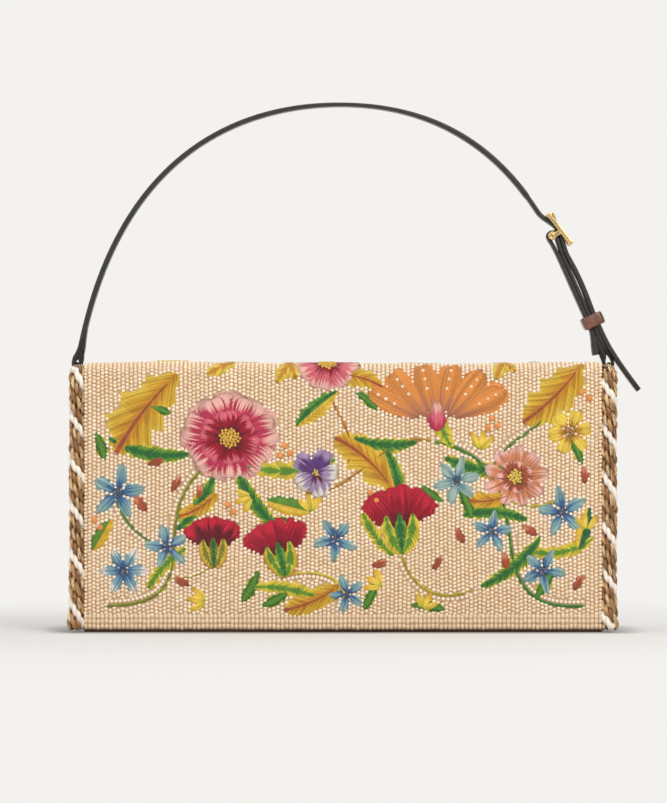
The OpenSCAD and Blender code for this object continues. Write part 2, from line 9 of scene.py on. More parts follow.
# %% Load the CAD frame
import math
import bmesh
import bpy
import numpy as np
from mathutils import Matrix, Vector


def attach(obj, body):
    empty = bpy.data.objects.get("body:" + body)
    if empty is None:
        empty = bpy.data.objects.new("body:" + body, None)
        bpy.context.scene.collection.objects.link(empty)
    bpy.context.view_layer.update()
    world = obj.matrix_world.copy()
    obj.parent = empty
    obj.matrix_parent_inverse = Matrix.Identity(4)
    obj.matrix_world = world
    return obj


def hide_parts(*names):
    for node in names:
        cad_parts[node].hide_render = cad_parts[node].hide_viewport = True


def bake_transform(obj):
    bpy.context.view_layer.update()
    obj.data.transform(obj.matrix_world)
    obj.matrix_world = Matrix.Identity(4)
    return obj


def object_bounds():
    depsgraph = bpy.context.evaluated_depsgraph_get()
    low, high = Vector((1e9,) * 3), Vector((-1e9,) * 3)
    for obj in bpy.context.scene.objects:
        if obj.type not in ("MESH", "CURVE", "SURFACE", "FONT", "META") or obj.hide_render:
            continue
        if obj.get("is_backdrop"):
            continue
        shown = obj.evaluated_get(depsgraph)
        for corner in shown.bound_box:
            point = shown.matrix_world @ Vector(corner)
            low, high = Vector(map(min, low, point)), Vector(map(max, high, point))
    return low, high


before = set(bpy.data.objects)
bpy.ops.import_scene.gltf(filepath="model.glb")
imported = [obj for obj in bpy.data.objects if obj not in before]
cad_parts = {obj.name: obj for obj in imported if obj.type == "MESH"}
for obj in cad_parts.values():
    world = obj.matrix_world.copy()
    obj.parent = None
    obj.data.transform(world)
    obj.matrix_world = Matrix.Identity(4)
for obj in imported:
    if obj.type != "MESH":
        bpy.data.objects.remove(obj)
cad_low, cad_high = [list(corner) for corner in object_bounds()]
chance = np.random.default_rng(11)
MM = 0.001
print("CAD box in mm:", [round((b - a) / MM, 1) for a, b in zip(cad_low, cad_high)])

# %% [markdown]
# ## The sizes that the pieces share
# They repeat the CAD model's, so each new surface lies in the space of the solid that it stands for. The
# bag stands at the origin, X runs across it, Y from front to back, Z up.

# %% Sizes of the bag
BAG_TOP = 138.0
BODY_X, BODY_Y = 133.0, 25.0
RIM_Z, FLOOR_Z = 130.0, 4.5
FLAP_X, FLAP_FRONT_Y, FLAP_LOW_Z = 131.0, -29.4, 1.5
FOLD_R, BACK_R = 7.0, 8.0
HINGE_Y = 8.0
ROPE_X, ROPE_LAY, ROPE_DROP = 136.1, 24.0, 3.2
WALL_T, LINING_T = 2.4, 0.8
RING_X, RING_Y, RING_Z, RING_R, WIRE_R = 138.5, 16.0, 130.0, 7.5, 1.2
STRAP_W, STRAP_T, SHORT_T = 11.0, 2.2, 3.6
STRAP_RISE = 134.6
LEAN = math.radians(24.0)
SHORT_LEN = 73.0
SEAM_PITCH = 3.2
BAR = np.array([RING_X - SHORT_LEN * math.sin(LEAN), RING_Z + RING_R + SHORT_LEN * math.cos(LEAN)])
print("buckle bar at x, z:", BAR.round(2))

# %% [markdown]
# ## From arrays to meshes
# A surface is handed on as points, faces and, for cloth and cord, a map. A grid of points becomes quads
# row by row, and two grids of one size become a wall: outer faces, inner faces turned round, and a strip
# along every open edge. A closed surface whose signed volume comes out negative is inside out, so its
# faces are turned. The finished arrays go into the mesh with foreach_set, which takes them whole.

# %% Small tools for points
def stack(*parts):
    """Numbers and arrays spread to one shape and laid side by side: x, y and z become points."""
    return np.stack(np.broadcast_arrays(*parts), -1)


def unit(v):
    return v / np.linalg.norm(v, axis=-1, keepdims=True)


def run_of(path):
    """The length walked so far at each point of a path."""
    return np.concatenate([[0], np.cumsum(np.linalg.norm(np.diff(path, axis=0), axis=1))])


def stations(start, *legs):
    """Places from start on to the end of each leg, which is given with its count of places."""
    places = [np.array([start])]
    for end, count in legs:
        places.append(np.linspace(places[-1][-1], end, count)[1:])
    return np.concatenate(places)


def bezier(points, count):
    t = np.linspace(0, 1, count)[:, None]
    a, b, c, d = [np.asarray(point, float) for point in points]
    return (1 - t) ** 3 * a + 3 * (1 - t) ** 2 * t * b + 3 * (1 - t) * t ** 2 * c + t ** 3 * d


# %% Surfaces
def grid_faces(rows, columns, closed=False, keep=None):
    """Quads between neighbouring points of a rows x columns grid; closed joins the last column to the
    first, and keep, one truth value per quad, leaves holes."""
    i, j = np.meshgrid(np.arange(rows - 1), np.arange(columns if closed else columns - 1), indexing="ij")
    k = (j + 1) % columns
    quads = stack(i * columns + j, i * columns + k, (i + 1) * columns + k, (i + 1) * columns + j)
    return (quads if keep is None else quads[keep]).reshape(-1, 4)


def facing_out(points, faces):
    """The faces, turned round where the volume that they enclose comes out negative."""
    a, b, c, d = [points[faces[:, n]] for n in range(4)]
    volume = np.einsum("ij,ij->i", a, np.cross(b, c) + np.cross(c, d)).sum()
    return faces if volume > 0 else faces[:, ::-1]


def wall(outer, inner, uv=None, closed=False, keep=None):
    """A closed thin wall from two grids of points: every edge that belongs to one quad only gets a strip
    that joins the outer grid to the inner one."""
    rows, columns = outer.shape[:2]
    quads = grid_faces(rows, columns, closed, keep)
    count = rows * columns
    edges = np.concatenate([quads[:, [a, (a + 1) % 4]] for a in range(4)])
    there, back = edges @ [count, 1], edges @ [1, count]
    rim = edges[~np.isin(there, back)]
    strip = stack(rim[:, 1], rim[:, 0], rim[:, 0] + count, rim[:, 1] + count)
    points = np.concatenate([outer.reshape(-1, 3), inner.reshape(-1, 3)])
    faces = facing_out(points, np.concatenate([quads, quads[:, ::-1] + count, strip]))
    return (points, faces) if uv is None else (points, faces, np.tile(uv.reshape(-1, 2), (2, 1)))


def tube(centres, across, up, radius, sides=8):
    """A round tube: at each centre a ring of points, cos times across plus sin times up times the radius
    there; the first and last ring shrink to nothing."""
    radius = np.broadcast_to(radius, len(centres)).copy()
    radius[[0, -1]] = 1e-4
    turn = np.linspace(0, 2 * np.pi, sides, endpoint=False)
    ring = np.cos(turn)[None, :, None] * across[:, None] + np.sin(turn)[None, :, None] * up[:, None]
    return centres[:, None] + radius[:, None, None] * ring


def join(parts):
    """Several surfaces as one: faces are renumbered, points and other columns are stacked."""
    shift = np.cumsum([0] + [len(part[0]) for part in parts[:-1]])
    faces = np.concatenate([part[1] + offset for part, offset in zip(parts, shift)])
    others = [np.concatenate([part[n] for part in parts]) for n in range(2, len(parts[0]))]
    return np.concatenate([part[0] for part in parts]), faces, *others


# %% Pieces
def add_object(name, data):
    thing = bpy.data.objects.new(name, data)
    bpy.context.scene.collection.objects.link(thing)
    return thing


def stands_for(piece, nodes, on):
    """Attaches the piece to a body's empty when on names one, and otherwise bakes its placement into its
    mesh; the CAD nodes that it replaces are hidden."""
    if isinstance(on, str):
        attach(piece, on)
    else:
        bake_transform(piece)
    if nodes:
        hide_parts(*nodes)


def make_piece(name, surface, material, nodes=(), on=None, colours=None, values=None, crease=45):
    """A mesh object of a surface in mm, whose faces may be a list of arrays; colours and values are given
    per point."""
    points, faces, *maps = surface
    groups = faces if isinstance(faces, list) else [faces]
    loops = np.concatenate([group.ravel() for group in groups]).astype(np.int32)
    counts = np.concatenate([np.full(len(group), group.shape[1]) for group in groups])
    mesh = bpy.data.meshes.new(name)
    mesh.vertices.add(len(points))
    mesh.vertices.foreach_set("co", (np.asarray(points) * MM).ravel())
    mesh.loops.add(len(loops))
    mesh.loops.foreach_set("vertex_index", loops)
    mesh.polygons.add(len(counts))
    mesh.polygons.foreach_set("loop_start", np.concatenate([[0], np.cumsum(counts)[:-1]]).astype(np.int32))
    mesh.polygons.foreach_set("use_smooth", np.ones(len(counts), bool))
    for uv in maps:
        layer = mesh.uv_layers.new(name="Fibre")
        layer.data.foreach_set("uv", np.asarray(uv, np.float32)[loops].ravel())
    for key, rgb in (colours or {}).items():
        rgba = np.column_stack([rgb, np.ones(len(rgb))])
        mesh.attributes.new(key, "FLOAT_COLOR", "POINT").data.foreach_set("color", rgba.ravel())
    for key, value in (values or {}).items():
        mesh.attributes.new(key, "FLOAT", "POINT").data.foreach_set("value", np.asarray(value, np.float32))
    mesh.update(calc_edges=True)
    mesh.validate()
    mesh.set_sharp_from_angle(angle=math.radians(crease))
    mesh.materials.append(material)
    piece = add_object(name, mesh)
    if on:
        stands_for(piece, nodes, on)
    print(f"{name}: {len(points)} points, {int((counts - 2).sum())} triangles")
    return piece


# %% [markdown]
# ## The camera
# The photograph looks straight at the front. The bag's strap, 45 mm further back than the flap, is about
# 2 % smaller in it, so the lens stands some 2.3 m away, level with the upper part of the bag.

# %% Camera
camera = add_object("Camera", bpy.data.cameras.new("Camera"))
bpy.context.scene.camera = camera
camera.location = (-0.0049, -2.30, 0.118)
camera.rotation_euler = (math.radians(90), 0, 0)
camera.data.sensor_width = 36.0
camera.data.lens = 199.2
camera.data.clip_start = 0.1

# %% [markdown]
# ## Small tools for materials
# `Shade` builds in a shader tree: `node` adds a node, sets its options and fills its inputs. What comes
# out of a node is a `Wire`, which can be added, taken away and multiplied, and each sign is a Math node.
# `effect` turns a function of wires into a reusable node group with named outputs. A group gives out only
# masks and heights, while the Principled shader stays in each material, which is a `Finish`.

# %% Wires and trees
class Wire:
    """An output of a shader node, with signs for sums and products."""

    def __init__(self, socket):
        self.socket = socket

    def maths(self, operation, other=0.0):
        return Shade(self.socket.id_data).node("Math", {0: self, 1: other}, operation=operation)[0]

    def ramp(self, low, high, to_low=0.0, to_high=1.0):
        inputs = {0: self, 1: low, 2: high, 3: to_low, 4: to_high}
        return Shade(self.socket.id_data).node("MapRange", inputs)[0]

    def __add__(self, other):
        return self.maths("ADD", other)

    def __sub__(self, other):
        return self.maths("SUBTRACT", other)

    def __mul__(self, other):
        return self.maths("MULTIPLY", other)

    def __abs__(self):
        return self.maths("ABSOLUTE")


class Outputs:
    """The outputs of a node, picked by name or number."""

    def __init__(self, made):
        self.made = made

    def __getitem__(self, key):
        return Wire(self.made.outputs[key])


class Shade:
    """A shader tree to build in."""

    def __init__(self, tree):
        self.tree = tree

    def fill(self, socket, value):
        """Puts a wire or a constant into an input; a colour of three numbers gets its fourth."""
        if isinstance(value, Wire):
            self.tree.links.new(value.socket, socket)
        else:
            socket.default_value = (*value, 1) if socket.type == "RGBA" else value

    def node(self, kind, inputs=None, **options):
        made = self.tree.nodes.new("ShaderNode" + kind)
        for key, value in options.items():
            setattr(made, key, value)
        for key, value in (inputs or {}).items():
            self.fill(made.inputs[key], value)
        return Outputs(made)

    def use(self, group, vector, **inputs):
        return self.node("Group", {"Vector": vector, **inputs}, node_tree=group)

    def noise(self, vector, scale, detail=2.0, **more):
        return self.node("TexNoise", {"Vector": vector, "Scale": scale, "Detail": detail, **more})

    def mix(self, share, a, b, kind="MIX"):
        inputs = {"Factor": share, "A": a, "B": b}
        return self.node("Mix", inputs, data_type="RGBA", blend_type=kind)["Result"]

    def shaded(self, colour, shade):
        """A colour times a grey."""
        grey = self.node("CombineColor", {0: shade, 1: shade, 2: shade})[0]
        return self.mix(1.0, colour, grey, "MULTIPLY")

    def place(self):
        return self.node("TexCoord")["Object"]

    def fibre(self):
        return self.node("UVMap", uv_map="Fibre")[0]

    def own(self, key, output="Fac"):
        return self.node("Attribute", attribute_name=key)[output]


class Finish(Shade):
    """A new material with its Principled shader; plain sockets such as sheen are set as constants."""

    def __init__(self, name, roughness=0.6, metallic=0.0, **plain):
        self.material = bpy.data.materials.new(name)
        self.material.use_nodes = True
        super().__init__(self.material.node_tree)
        self.shader = self.tree.nodes["Principled BSDF"]
        self.give(Roughness=roughness, Metallic=metallic, **plain)

    def give(self, **values):
        for key, value in values.items():
            self.fill(self.shader.inputs[key.replace("_", " ")], value)

    def raised(self, height, distance, **more):
        """The finished material, with a bump of that height."""
        inputs = {"Height": height, "Distance": distance, "Strength": 1.0, **more}
        self.give(Normal=self.node("Bump", inputs)[0])
        return self.material


def effect(name, inputs, outputs):
    """Turns a function into a node group: it gets wires of the map and of the inputs, and gives back one
    wire per output."""
    def make(build):
        tree = bpy.data.node_groups.new(name, "ShaderNodeTree")
        tree.interface.new_socket("Vector", in_out="INPUT", socket_type="NodeSocketVector")
        for key, value in inputs.items():
            socket = tree.interface.new_socket(key, in_out="INPUT", socket_type="NodeSocketFloat")
            socket.default_value = value
        for key in outputs:
            tree.interface.new_socket(key, in_out="OUTPUT", socket_type="NodeSocketFloat")
        given = Outputs(tree.nodes.new("NodeGroupInput"))
        out = tree.nodes.new("NodeGroupOutput")
        made = build(Shade(tree), *[given[key] for key in ("Vector", *inputs)])
        for key, wire in zip(outputs, made):
            tree.links.new(wire.socket, out.inputs[key])
        return tree
    return make


# %% [markdown]
# ## Effects that several finishes share
# *Weave* makes a plain weave of two sets of threads from a map in millimetres. *Grain* makes the fine
# pebbles and creases of leather. *Thread* makes a field of laid embroidery threads: the map's first number
# counts threads, the second runs along them, and each thread ends a little earlier or later, which is what
# makes the soft toothed borders between two colours in long-and-short stitch. *Wear* gives slow patches.

# %% Weave, grain, thread and wear
@effect("Weave", {"Pitch": 0.6}, ("Height", "Tone"))
def WEAVE(shade, vector, pitch):
    fineness = shade.node("Math", {0: 1.0, 1: pitch}, operation="DIVIDE")[0]
    place = shade.node("VectorMath", {0: vector, "Scale": fineness}, operation="SCALE")[0]
    wobble = shade.noise(place, 0.35, 1.0)["Color"]
    woven = shade.node("VectorMath", {0: wobble, 1: place}, operation="ADD")[0]
    parts = shade.node("SeparateXYZ", {0: woven})
    heights = []
    for a, b, sign in ((0, 1, 0.5), (1, 0, -0.5)):
        inside = parts[a].maths("FRACT") - 0.5
        crown = inside * inside * -3.4 + 1.0
        phase = (parts[b] + parts[a].maths("FLOOR")) * math.pi
        heights.append(crown * (phase.maths("SINE") * sign + 0.5))
    top = heights[0].maths("MAXIMUM", heights[1])
    # Tone: slow random noise plus the weave's height, which is painted shade: raised threads lighter, the
    # hollows between them darker.
    return top, shade.noise(place, 3.1, 3.0)[0] * 0.5 + top * 0.6


@effect("Grain", {"Scale": 1400.0}, ("Height", "Tone"))
def GRAIN(shade, vector, scale):
    inputs = {"Vector": vector, "Scale": scale}
    pebbles = shade.node("TexVoronoi", inputs, feature="DISTANCE_TO_EDGE")["Distance"]
    creases = shade.noise(vector, 260.0, 5.0, Roughness=0.65)[0]
    fine = shade.noise(vector, scale, 4.0)[0]
    return creases * 0.9 + fine * 0.5 + pebbles.ramp(0.0, 0.16) * 0.7, creases


@effect("Thread", {}, ("Height", "Tone", "Along"))
def THREAD(shade, vector):
    parts = shade.node("SeparateXYZ", {0: vector})
    count, along = parts[0], parts[1]
    inside = count.maths("FRACT") - 0.5
    crown = inside * inside * -4.0 + 1.0
    own = shade.node("TexWhiteNoise", {"W": count.maths("FLOOR")}, noise_dimensions="1D")["Value"]
    stretched = shade.node("CombineXYZ", {0: count * 2.2, 1: along * 3.0})[0]
    fibres = shade.noise(stretched, 1.0, 3.0)[0]
    # Tone: each thread's own random tone and its fibres, plus painted shade from the crown, lighter along a
    # thread's middle and darker between threads.
    return fibres * 0.35 + crown, own * 0.45 + fibres * 0.6 + crown * 0.25, own * 0.3 + along - 0.15


@effect("Wear", {"Scale": 14.0}, ("Patches", "Specks"))
def WEAR(shade, vector, scale):
    return shade.noise(vector, scale, 4.0)[0].ramp(0.35, 0.65), shade.noise(vector, 900.0)[0].ramp(0.4, 0.7)


# %% [markdown]
# ## The finishes
# Colours are written in linear light. Cloth pieces carry a map in millimetres, so a weave keeps its size
# on each of them and follows folds. Leather and metal read the object's own coordinates. Metal has its
# edges rounded in the light by a Bevel node, as polished castings do.

# %% Woven cloths
def woven(name, light, dark, pitch, roughness=0.85, sheen=0.25, depth=0.00012, slubs=0.22):
    """Slubs are slow streaks of lighter and darker threads both ways."""
    f = Finish(name, roughness, Sheen_Weight=sheen, Sheen_Roughness=0.4, Specular_IOR_Level=0.3)
    cloth = f.use(WEAVE, f.fibre(), Pitch=pitch)
    # The weave's tone is partly random and partly painted shade in the hollows of the weave.
    tone = cloth["Tone"].ramp(0.15, 0.85)
    for size in ((1.3, 0.07, 1.0), (0.07, 1.3, 1.0)):
        streak = f.noise(f.node("Mapping", {"Vector": f.fibre(), "Scale": size})[0], 1.0)[0]
        tone = streak.ramp(0.35, 0.68, -0.5, 0.5) * slubs + tone
    colour = f.mix(tone.maths("MAXIMUM", 0.0).maths("MINIMUM", 1.0), dark, light)
    patches = f.use(WEAR, f.place(), Scale=16.0)["Patches"]
    f.give(Base_Color=f.mix(patches * 0.14, colour, dark))
    return f.raised(cloth["Height"], depth)


GROUND = woven("bead_ground_cloth", (0.64, 0.44, 0.28), (0.46, 0.29, 0.17), 0.9)
BODY_CLOTH = woven("body_cloth", (0.40, 0.25, 0.135), (0.12, 0.064, 0.03), 0.9, depth=0.0003, slubs=0.42)
FLAP_LINING = woven("flap_lining_cloth", (0.52, 0.33, 0.17), (0.32, 0.18, 0.08), 0.34, 0.6, 0.4)
LINING = woven("inside_lining_cloth", (0.56, 0.37, 0.2), (0.36, 0.21, 0.1), 0.36, 0.62, 0.35)


# %% Leathers
def leather(name, base, dark, roughness=0.42, scale=1400.0, depth=0.000025, coat=0.15):
    f = Finish(name, roughness, Coat_Weight=coat, Coat_Roughness=0.35, Specular_IOR_Level=0.45)
    skin, worn = f.use(GRAIN, f.place(), Scale=scale), f.use(WEAR, f.place(), Scale=22.0)
    colour = f.mix(skin["Tone"].ramp(0.3, 0.7), dark, base)
    f.give(Base_Color=f.mix(worn["Patches"] * 0.35, colour, dark),
           Roughness=worn["Specks"] * 0.12 + (roughness - 0.05))
    return f.raised(skin["Height"], depth)


STRAP_LEATHER = leather("strap_leather", (0.027, 0.023, 0.021), (0.011, 0.01, 0.009), coat=0.1)
KEEPER_LEATHER = leather("keeper_leather", (0.29, 0.11, 0.055), (0.06, 0.02, 0.01), 0.3,
                         depth=0.00004, coat=0.5)
BASE_LEATHER = leather("base_leather", (0.09, 0.045, 0.028), (0.035, 0.018, 0.011),
                       scale=1100.0, depth=0.00005)


# %% Metals and board
def polished(name, base, roughness, scratch=0.1):
    f = Finish(name, roughness, 1.0)
    worn = f.use(WEAR, f.place(), Scale=60.0)
    stretched = f.node("Mapping", {"Vector": f.place(), "Scale": (900.0, 900.0, 120.0)})[0]
    lines = f.noise(stretched, 1.0, 3.0)[0]
    warm = tuple(value * shade for value, shade in zip(base, (0.82, 0.74, 0.6)))
    f.give(Base_Color=f.mix(worn["Patches"] * 0.3, base, warm),
           Roughness=lines * scratch + worn["Specks"] * (scratch / 2) + (roughness - scratch / 2))
    return f.raised(lines, 0.000004, Normal=f.node("Bevel", {"Radius": 0.0006}, samples=8)[0])


GOLD = polished("gold_plate", (0.86, 0.62, 0.28), 0.14)
STEEL = polished("plain_steel", (0.55, 0.55, 0.54), 0.34, 0.16)


def fibre_board():
    f = Finish("fibre_board", 0.9)
    chips = f.node("TexVoronoi", {"Vector": f.place(), "Scale": 900.0, "Randomness": 1.0})["Distance"]
    cloud = f.use(WEAR, f.place(), Scale=40.0)["Patches"]
    colour = f.mix(chips, (0.36, 0.24, 0.12), (0.52, 0.38, 0.21))
    f.give(Base_Color=f.mix(cloud * 0.4, colour, (0.3, 0.2, 0.1)))
    return f.raised(chips, 0.0001)


BOARD = fibre_board()


# %% Beads, stitched threads, knots, rope and sewing thread
def bead_glass():
    """Each bead has its own tone and is paler beside a motif; the low attribute is painted shade, darker
    towards the bead's base.
    """
    f = Finish("pearly_beads", 0.3, Coat_Weight=0.35, Coat_Roughness=0.12, Specular_IOR_Level=0.5)
    colour = f.mix(f.own("tone"), (0.78, 0.595, 0.385), (0.93, 0.765, 0.54))
    colour = f.mix(f.own("pale"), colour, (0.93, 0.81, 0.67))
    cloud = f.use(WEAR, f.place(), Scale=18.0)["Patches"]
    colour = f.mix(cloud * 0.22, colour, (0.80, 0.55, 0.37))
    # Painted shade: where low is high, near each bead's base and in the gaps between beads, the colour goes
    # to a shaded brown.
    f.give(Base_Color=f.mix(f.own("low"), colour, (0.65, 0.45, 0.28)))
    return f.material


def stitched_thread():
    """Three colours from the inner to the outer end of the threads."""
    f = Finish("stitched_thread", 0.5, Sheen_Weight=0.16, Sheen_Roughness=0.35, Specular_IOR_Level=0.35)
    laid = f.use(THREAD, f.fibre())
    colour = f.mix(laid["Along"].ramp(0.23, 0.41), f.own("inner", "Color"), f.own("middle", "Color"))
    colour = f.mix(laid["Along"].ramp(0.61, 0.79), colour, f.own("outer", "Color"))
    # The thread tone shades the colour: partly each thread's own tone, partly painted shade between the
    # threads.
    f.give(Base_Color=f.shaded(colour, laid["Tone"].ramp(0.25, 1.0, 0.56, 1.25)))
    return f.raised(laid["Height"], 0.0003)


def tinted_fibre(name, roughness, sheen, depth, coat=0.0):
    """Cord and knots: a colour per point, fine threads from the map with painted shade between them,
    painted shade in the grooves, and where metal is 1 a shimmer of metal thread with stronger painted
    thread shade."""
    f = Finish(name, roughness, Sheen_Weight=sheen, Sheen_Roughness=0.4, Specular_IOR_Level=0.5,
               Coat_Weight=coat, Coat_Roughness=0.28)
    laid, metal = f.use(THREAD, f.fibre()), f.own("metal")
    # The thread tone, partly own tone and partly painted shade between threads; metal thread gets a
    # stronger painted shade.
    shade = metal * laid["Tone"].ramp(0.25, 0.95, -0.32, 0.32) + laid["Tone"].ramp(0.25, 0.95, 0.74, 1.16)
    colour = f.shaded(f.own("tint", "Color"), shade)
    # Painted shade: groove_shade darkens the colour towards a dark brown in the hollows between strands.
    f.give(Metallic=metal * 0.45, Base_Color=f.mix(f.own("groove_shade") * 0.85, colour, (0.085, 0.034, 0.012)))
    return f.raised(laid["Height"], depth)


def sewing_thread(name, light, dark):
    f = Finish(name, 0.55, Sheen_Weight=0.2)
    # The twist's light and dark bands are painted shade between its plies; the same bands give the bump.
    twist = f.node("TexWave", {"Vector": f.place(), "Scale": 900.0, "Distortion": 2.0},
                   bands_direction="DIAGONAL")["Fac"]
    f.give(Base_Color=f.mix(twist, dark, light))
    return f.raised(twist, 0.00005)


BEADS, STITCHED = bead_glass(), stitched_thread()
KNOTS = tinted_fibre("knot_thread", 0.5, 0.25, 0.00012)
ROPE = tinted_fibre("twisted_rope", 0.34, 0.03, 0.00035, 0.3)
DARK_THREAD = sewing_thread("dark_sewing_thread", (0.06, 0.045, 0.035), (0.02, 0.015, 0.012))
TAN_THREAD = sewing_thread("tan_sewing_thread", (0.42, 0.26, 0.13), (0.2, 0.11, 0.05))

# %% [markdown]
# ## The line that the flap follows
# The flap is one cloth that runs up the front, folds over the top and meets the back. A place on it is
# given by x and by the length s from its bottom edge, and a height above the skin. One function turns
# these into a point, so cloth, beads and threads all follow the same folds and the same slow waves.

# %% Flap coordinates
QUARTER = math.pi / 2
FRONT_BEND_Y, BACK_BEND_Y = FLAP_FRONT_Y + FOLD_R, BODY_Y - BACK_R
UP = BAG_TOP - FOLD_R - FLAP_LOW_Z
FOLD_END = UP + FOLD_R * QUARTER
TOP_END = FOLD_END + BACK_BEND_Y - FRONT_BEND_Y
BACK_FOLD_END = TOP_END + BACK_R * QUARTER
LINE_END = BACK_FOLD_END + BAG_TOP - BACK_R
HINGE_S = FOLD_END + HINGE_Y - FRONT_BEND_Y


def flap_line(s):
    """The skin's y, z and outward turn at length s: straight up, a quarter circle, straight back, a
    quarter circle, straight down. The turn is 0 at the front, 90 degrees on top, 180 at the back."""
    s = np.asarray(s, float)
    turn = np.clip((s - UP) / FOLD_R, 0, QUARTER) + np.clip((s - TOP_END) / BACK_R, 0, QUARTER)
    first = s < TOP_END
    radius = np.where(first, FOLD_R, BACK_R)
    y0 = np.where(first, FRONT_BEND_Y, BACK_BEND_Y)
    y = y0 - radius * np.cos(turn) + np.where(first, np.clip(s - FOLD_END, 0, None), 0)
    z = BAG_TOP - radius + radius * np.sin(turn) + np.minimum(s - UP, 0)
    return y, z - np.clip(s - BACK_FOLD_END, 0, None), turn


def wave(x, s):
    """Slow waves of the soft cloth, in mm: products of long sines, gone at the hinge and the back foot."""
    calm = np.clip(np.abs(s - HINGE_S) / 20, 0, 1) * np.clip((LINE_END - s) / 40, 0, 1)
    side = np.clip((FLAP_X + 4 - np.abs(x)) / 26, 0, 1)
    long = 0.55 * np.sin(x / 37 + 0.7) * np.sin(s / 44 + 0.9) + 0.3 * np.sin(x / 17 + s / 29 + 2.0)
    belly = 1.1 * np.cos(x / FLAP_X * QUARTER) * np.sin(np.clip(s / UP, 0, 1) * np.pi)
    return calm * (long * (0.35 + 0.65 * side) + belly)


def on_flap(x, s, height=0.0):
    """The point at x, s and height above the skin, as an array (..., 3)."""
    y, z, turn = flap_line(s)
    lift = height + wave(x, s)
    return stack(x, y - lift * np.cos(turn), z + lift * np.sin(turn))


print("length of the flap:", round(HINGE_S, 1), "mm, and on to the back foot:", round(LINE_END, 1), "mm")

# %% [markdown]
# ## Drawing the garden in thread
# Real crewel work lays coloured threads side by side over a shape. Each leaf or petal here is a small
# padded surface: one parameter runs along a curved middle line, the other across it. The width is a power
# of the length share times a power of the rest, which gives anything from a slim leaf to a round petal,
# and tiny teeth stand for the thread ends between the beads.

# %% Colours of the threads
THREADS = {
    "gold": (0.78, 0.45, 0.035), "yellow": (0.86, 0.60, 0.08), "amber": (0.66, 0.29, 0.025),
    "ochre": (0.46, 0.20, 0.02), "brown": (0.20, 0.07, 0.02), "wine": (0.15, 0.008, 0.016),
    "crimson": (0.34, 0.006, 0.024), "red": (0.56, 0.014, 0.04), "pink": (0.72, 0.14, 0.18),
    "blush": (0.84, 0.46, 0.38), "rose": (0.58, 0.04, 0.10), "cream": (0.88, 0.74, 0.56),
    "orange": (0.74, 0.27, 0.06), "coral": (0.66, 0.24, 0.12), "terracotta": (0.40, 0.085, 0.035),
    "leaf": (0.13, 0.31, 0.035), "green": (0.025, 0.16, 0.035), "teal": (0.03, 0.14, 0.08),
    "lime": (0.68, 0.56, 0.045), "olive": (0.27, 0.22, 0.035), "aqua": (0.34, 0.47, 0.41),
    "sky": (0.19, 0.35, 0.40), "blue": (0.055, 0.15, 0.32), "deep_blue": (0.03, 0.08, 0.2),
    "violet": (0.12, 0.045, 0.2), "lilac": (0.38, 0.27, 0.43), "pale": (0.76, 0.68, 0.60),
}
patches, knots, pearls = [], [], []


# %% Leaves, petals and stems
def add_patch(line, normal, half, v, height, u, w, colours, shift=0, over=False):
    """Keeps a patch: a grid about a line, v from -1 to 1 across it, and its map u, w. Patches laid over
    others leave no gap in the beads."""
    flat = line[:, None] + (half[:, None] * v)[..., None] * normal[:, None] + shift
    patches.append({"flat": flat, "height": height, "uv": stack(u, w), "over": over,
                    "colours": [THREADS[colour] for colour in colours]})


def stitch(x, s, length, width, heading, colours, bend=0, belly=(0.7, 0.9), rise=0.62, teeth=0.07,
           lobes=(0, 0), radial=False, slant=0.9, notch=0.0, lift=0.0):
    """One padded patch of laid threads. Its middle line starts at x, s, leaves at heading degrees and turns
    by bend degrees evenly. Half width: share ** p * (1 - share) ** q scaled to the width; height: a crown
    across, low at the rim. colours are inner, middle, outer, and radial lays the threads along the patch
    and not across it."""
    steps = int(max(length / 0.75, 12))
    share = np.linspace(0, 1, steps)
    turn = np.radians(heading + bend * share)
    ahead, normal = stack(np.cos(turn), np.sin(turn)), stack(-np.sin(turn), np.cos(turn))
    step = ahead * length / (steps - 1)
    line = np.array([x, s]) + np.concatenate([[[0, 0]], np.cumsum((step[1:] + step[:-1]) / 2, axis=0)])
    p, q = belly
    peak = (p / (p + q)) ** p * (q / (p + q)) ** q
    half = width / 2 * share ** p * (1 - share) ** q / peak
    saw = np.abs((share * length / 2.1 + chance.uniform()) % 1 * 2 - 1)
    half = half * (1 + teeth * (saw - 0.5) * 2) * (1 + lobes[1] * np.cos(2 * np.pi * lobes[0] * share))
    half = half * (1 + 0.07 * np.sin(share * chance.uniform(5, 9) + chance.uniform(0, 6)))
    half[[0, -1]] = 0.02
    v = np.sin(np.linspace(-QUARTER, QUARTER, 9))
    dip = notch * length * (1 - np.abs(v)) ** 1.5 * share[:, None] ** 6
    ends = share[:, None] ** 5 * chance.normal(0, 0.035 * length, 9) * radial
    full = np.clip(half / 1.6, 0, 1)[:, None] * (1 - np.abs(v) ** 2.6) ** 0.55
    height = -1.35 + lift + 0.0018 * len(patches) + (0.75 + rise) * full
    offset = chance.integers(1, 900)
    if radial:
        u, w = v * width / 2 / 0.74 + offset, share[:, None]
    else:
        u, w = (share[:, None] * length + slant * np.abs(v) * half[:, None]) / 0.78 + offset, np.abs(v)
    add_patch(line, normal, half, v, height, u, w, colours, -(dip + ends)[..., None] * ahead[:, None])
    return line, normal


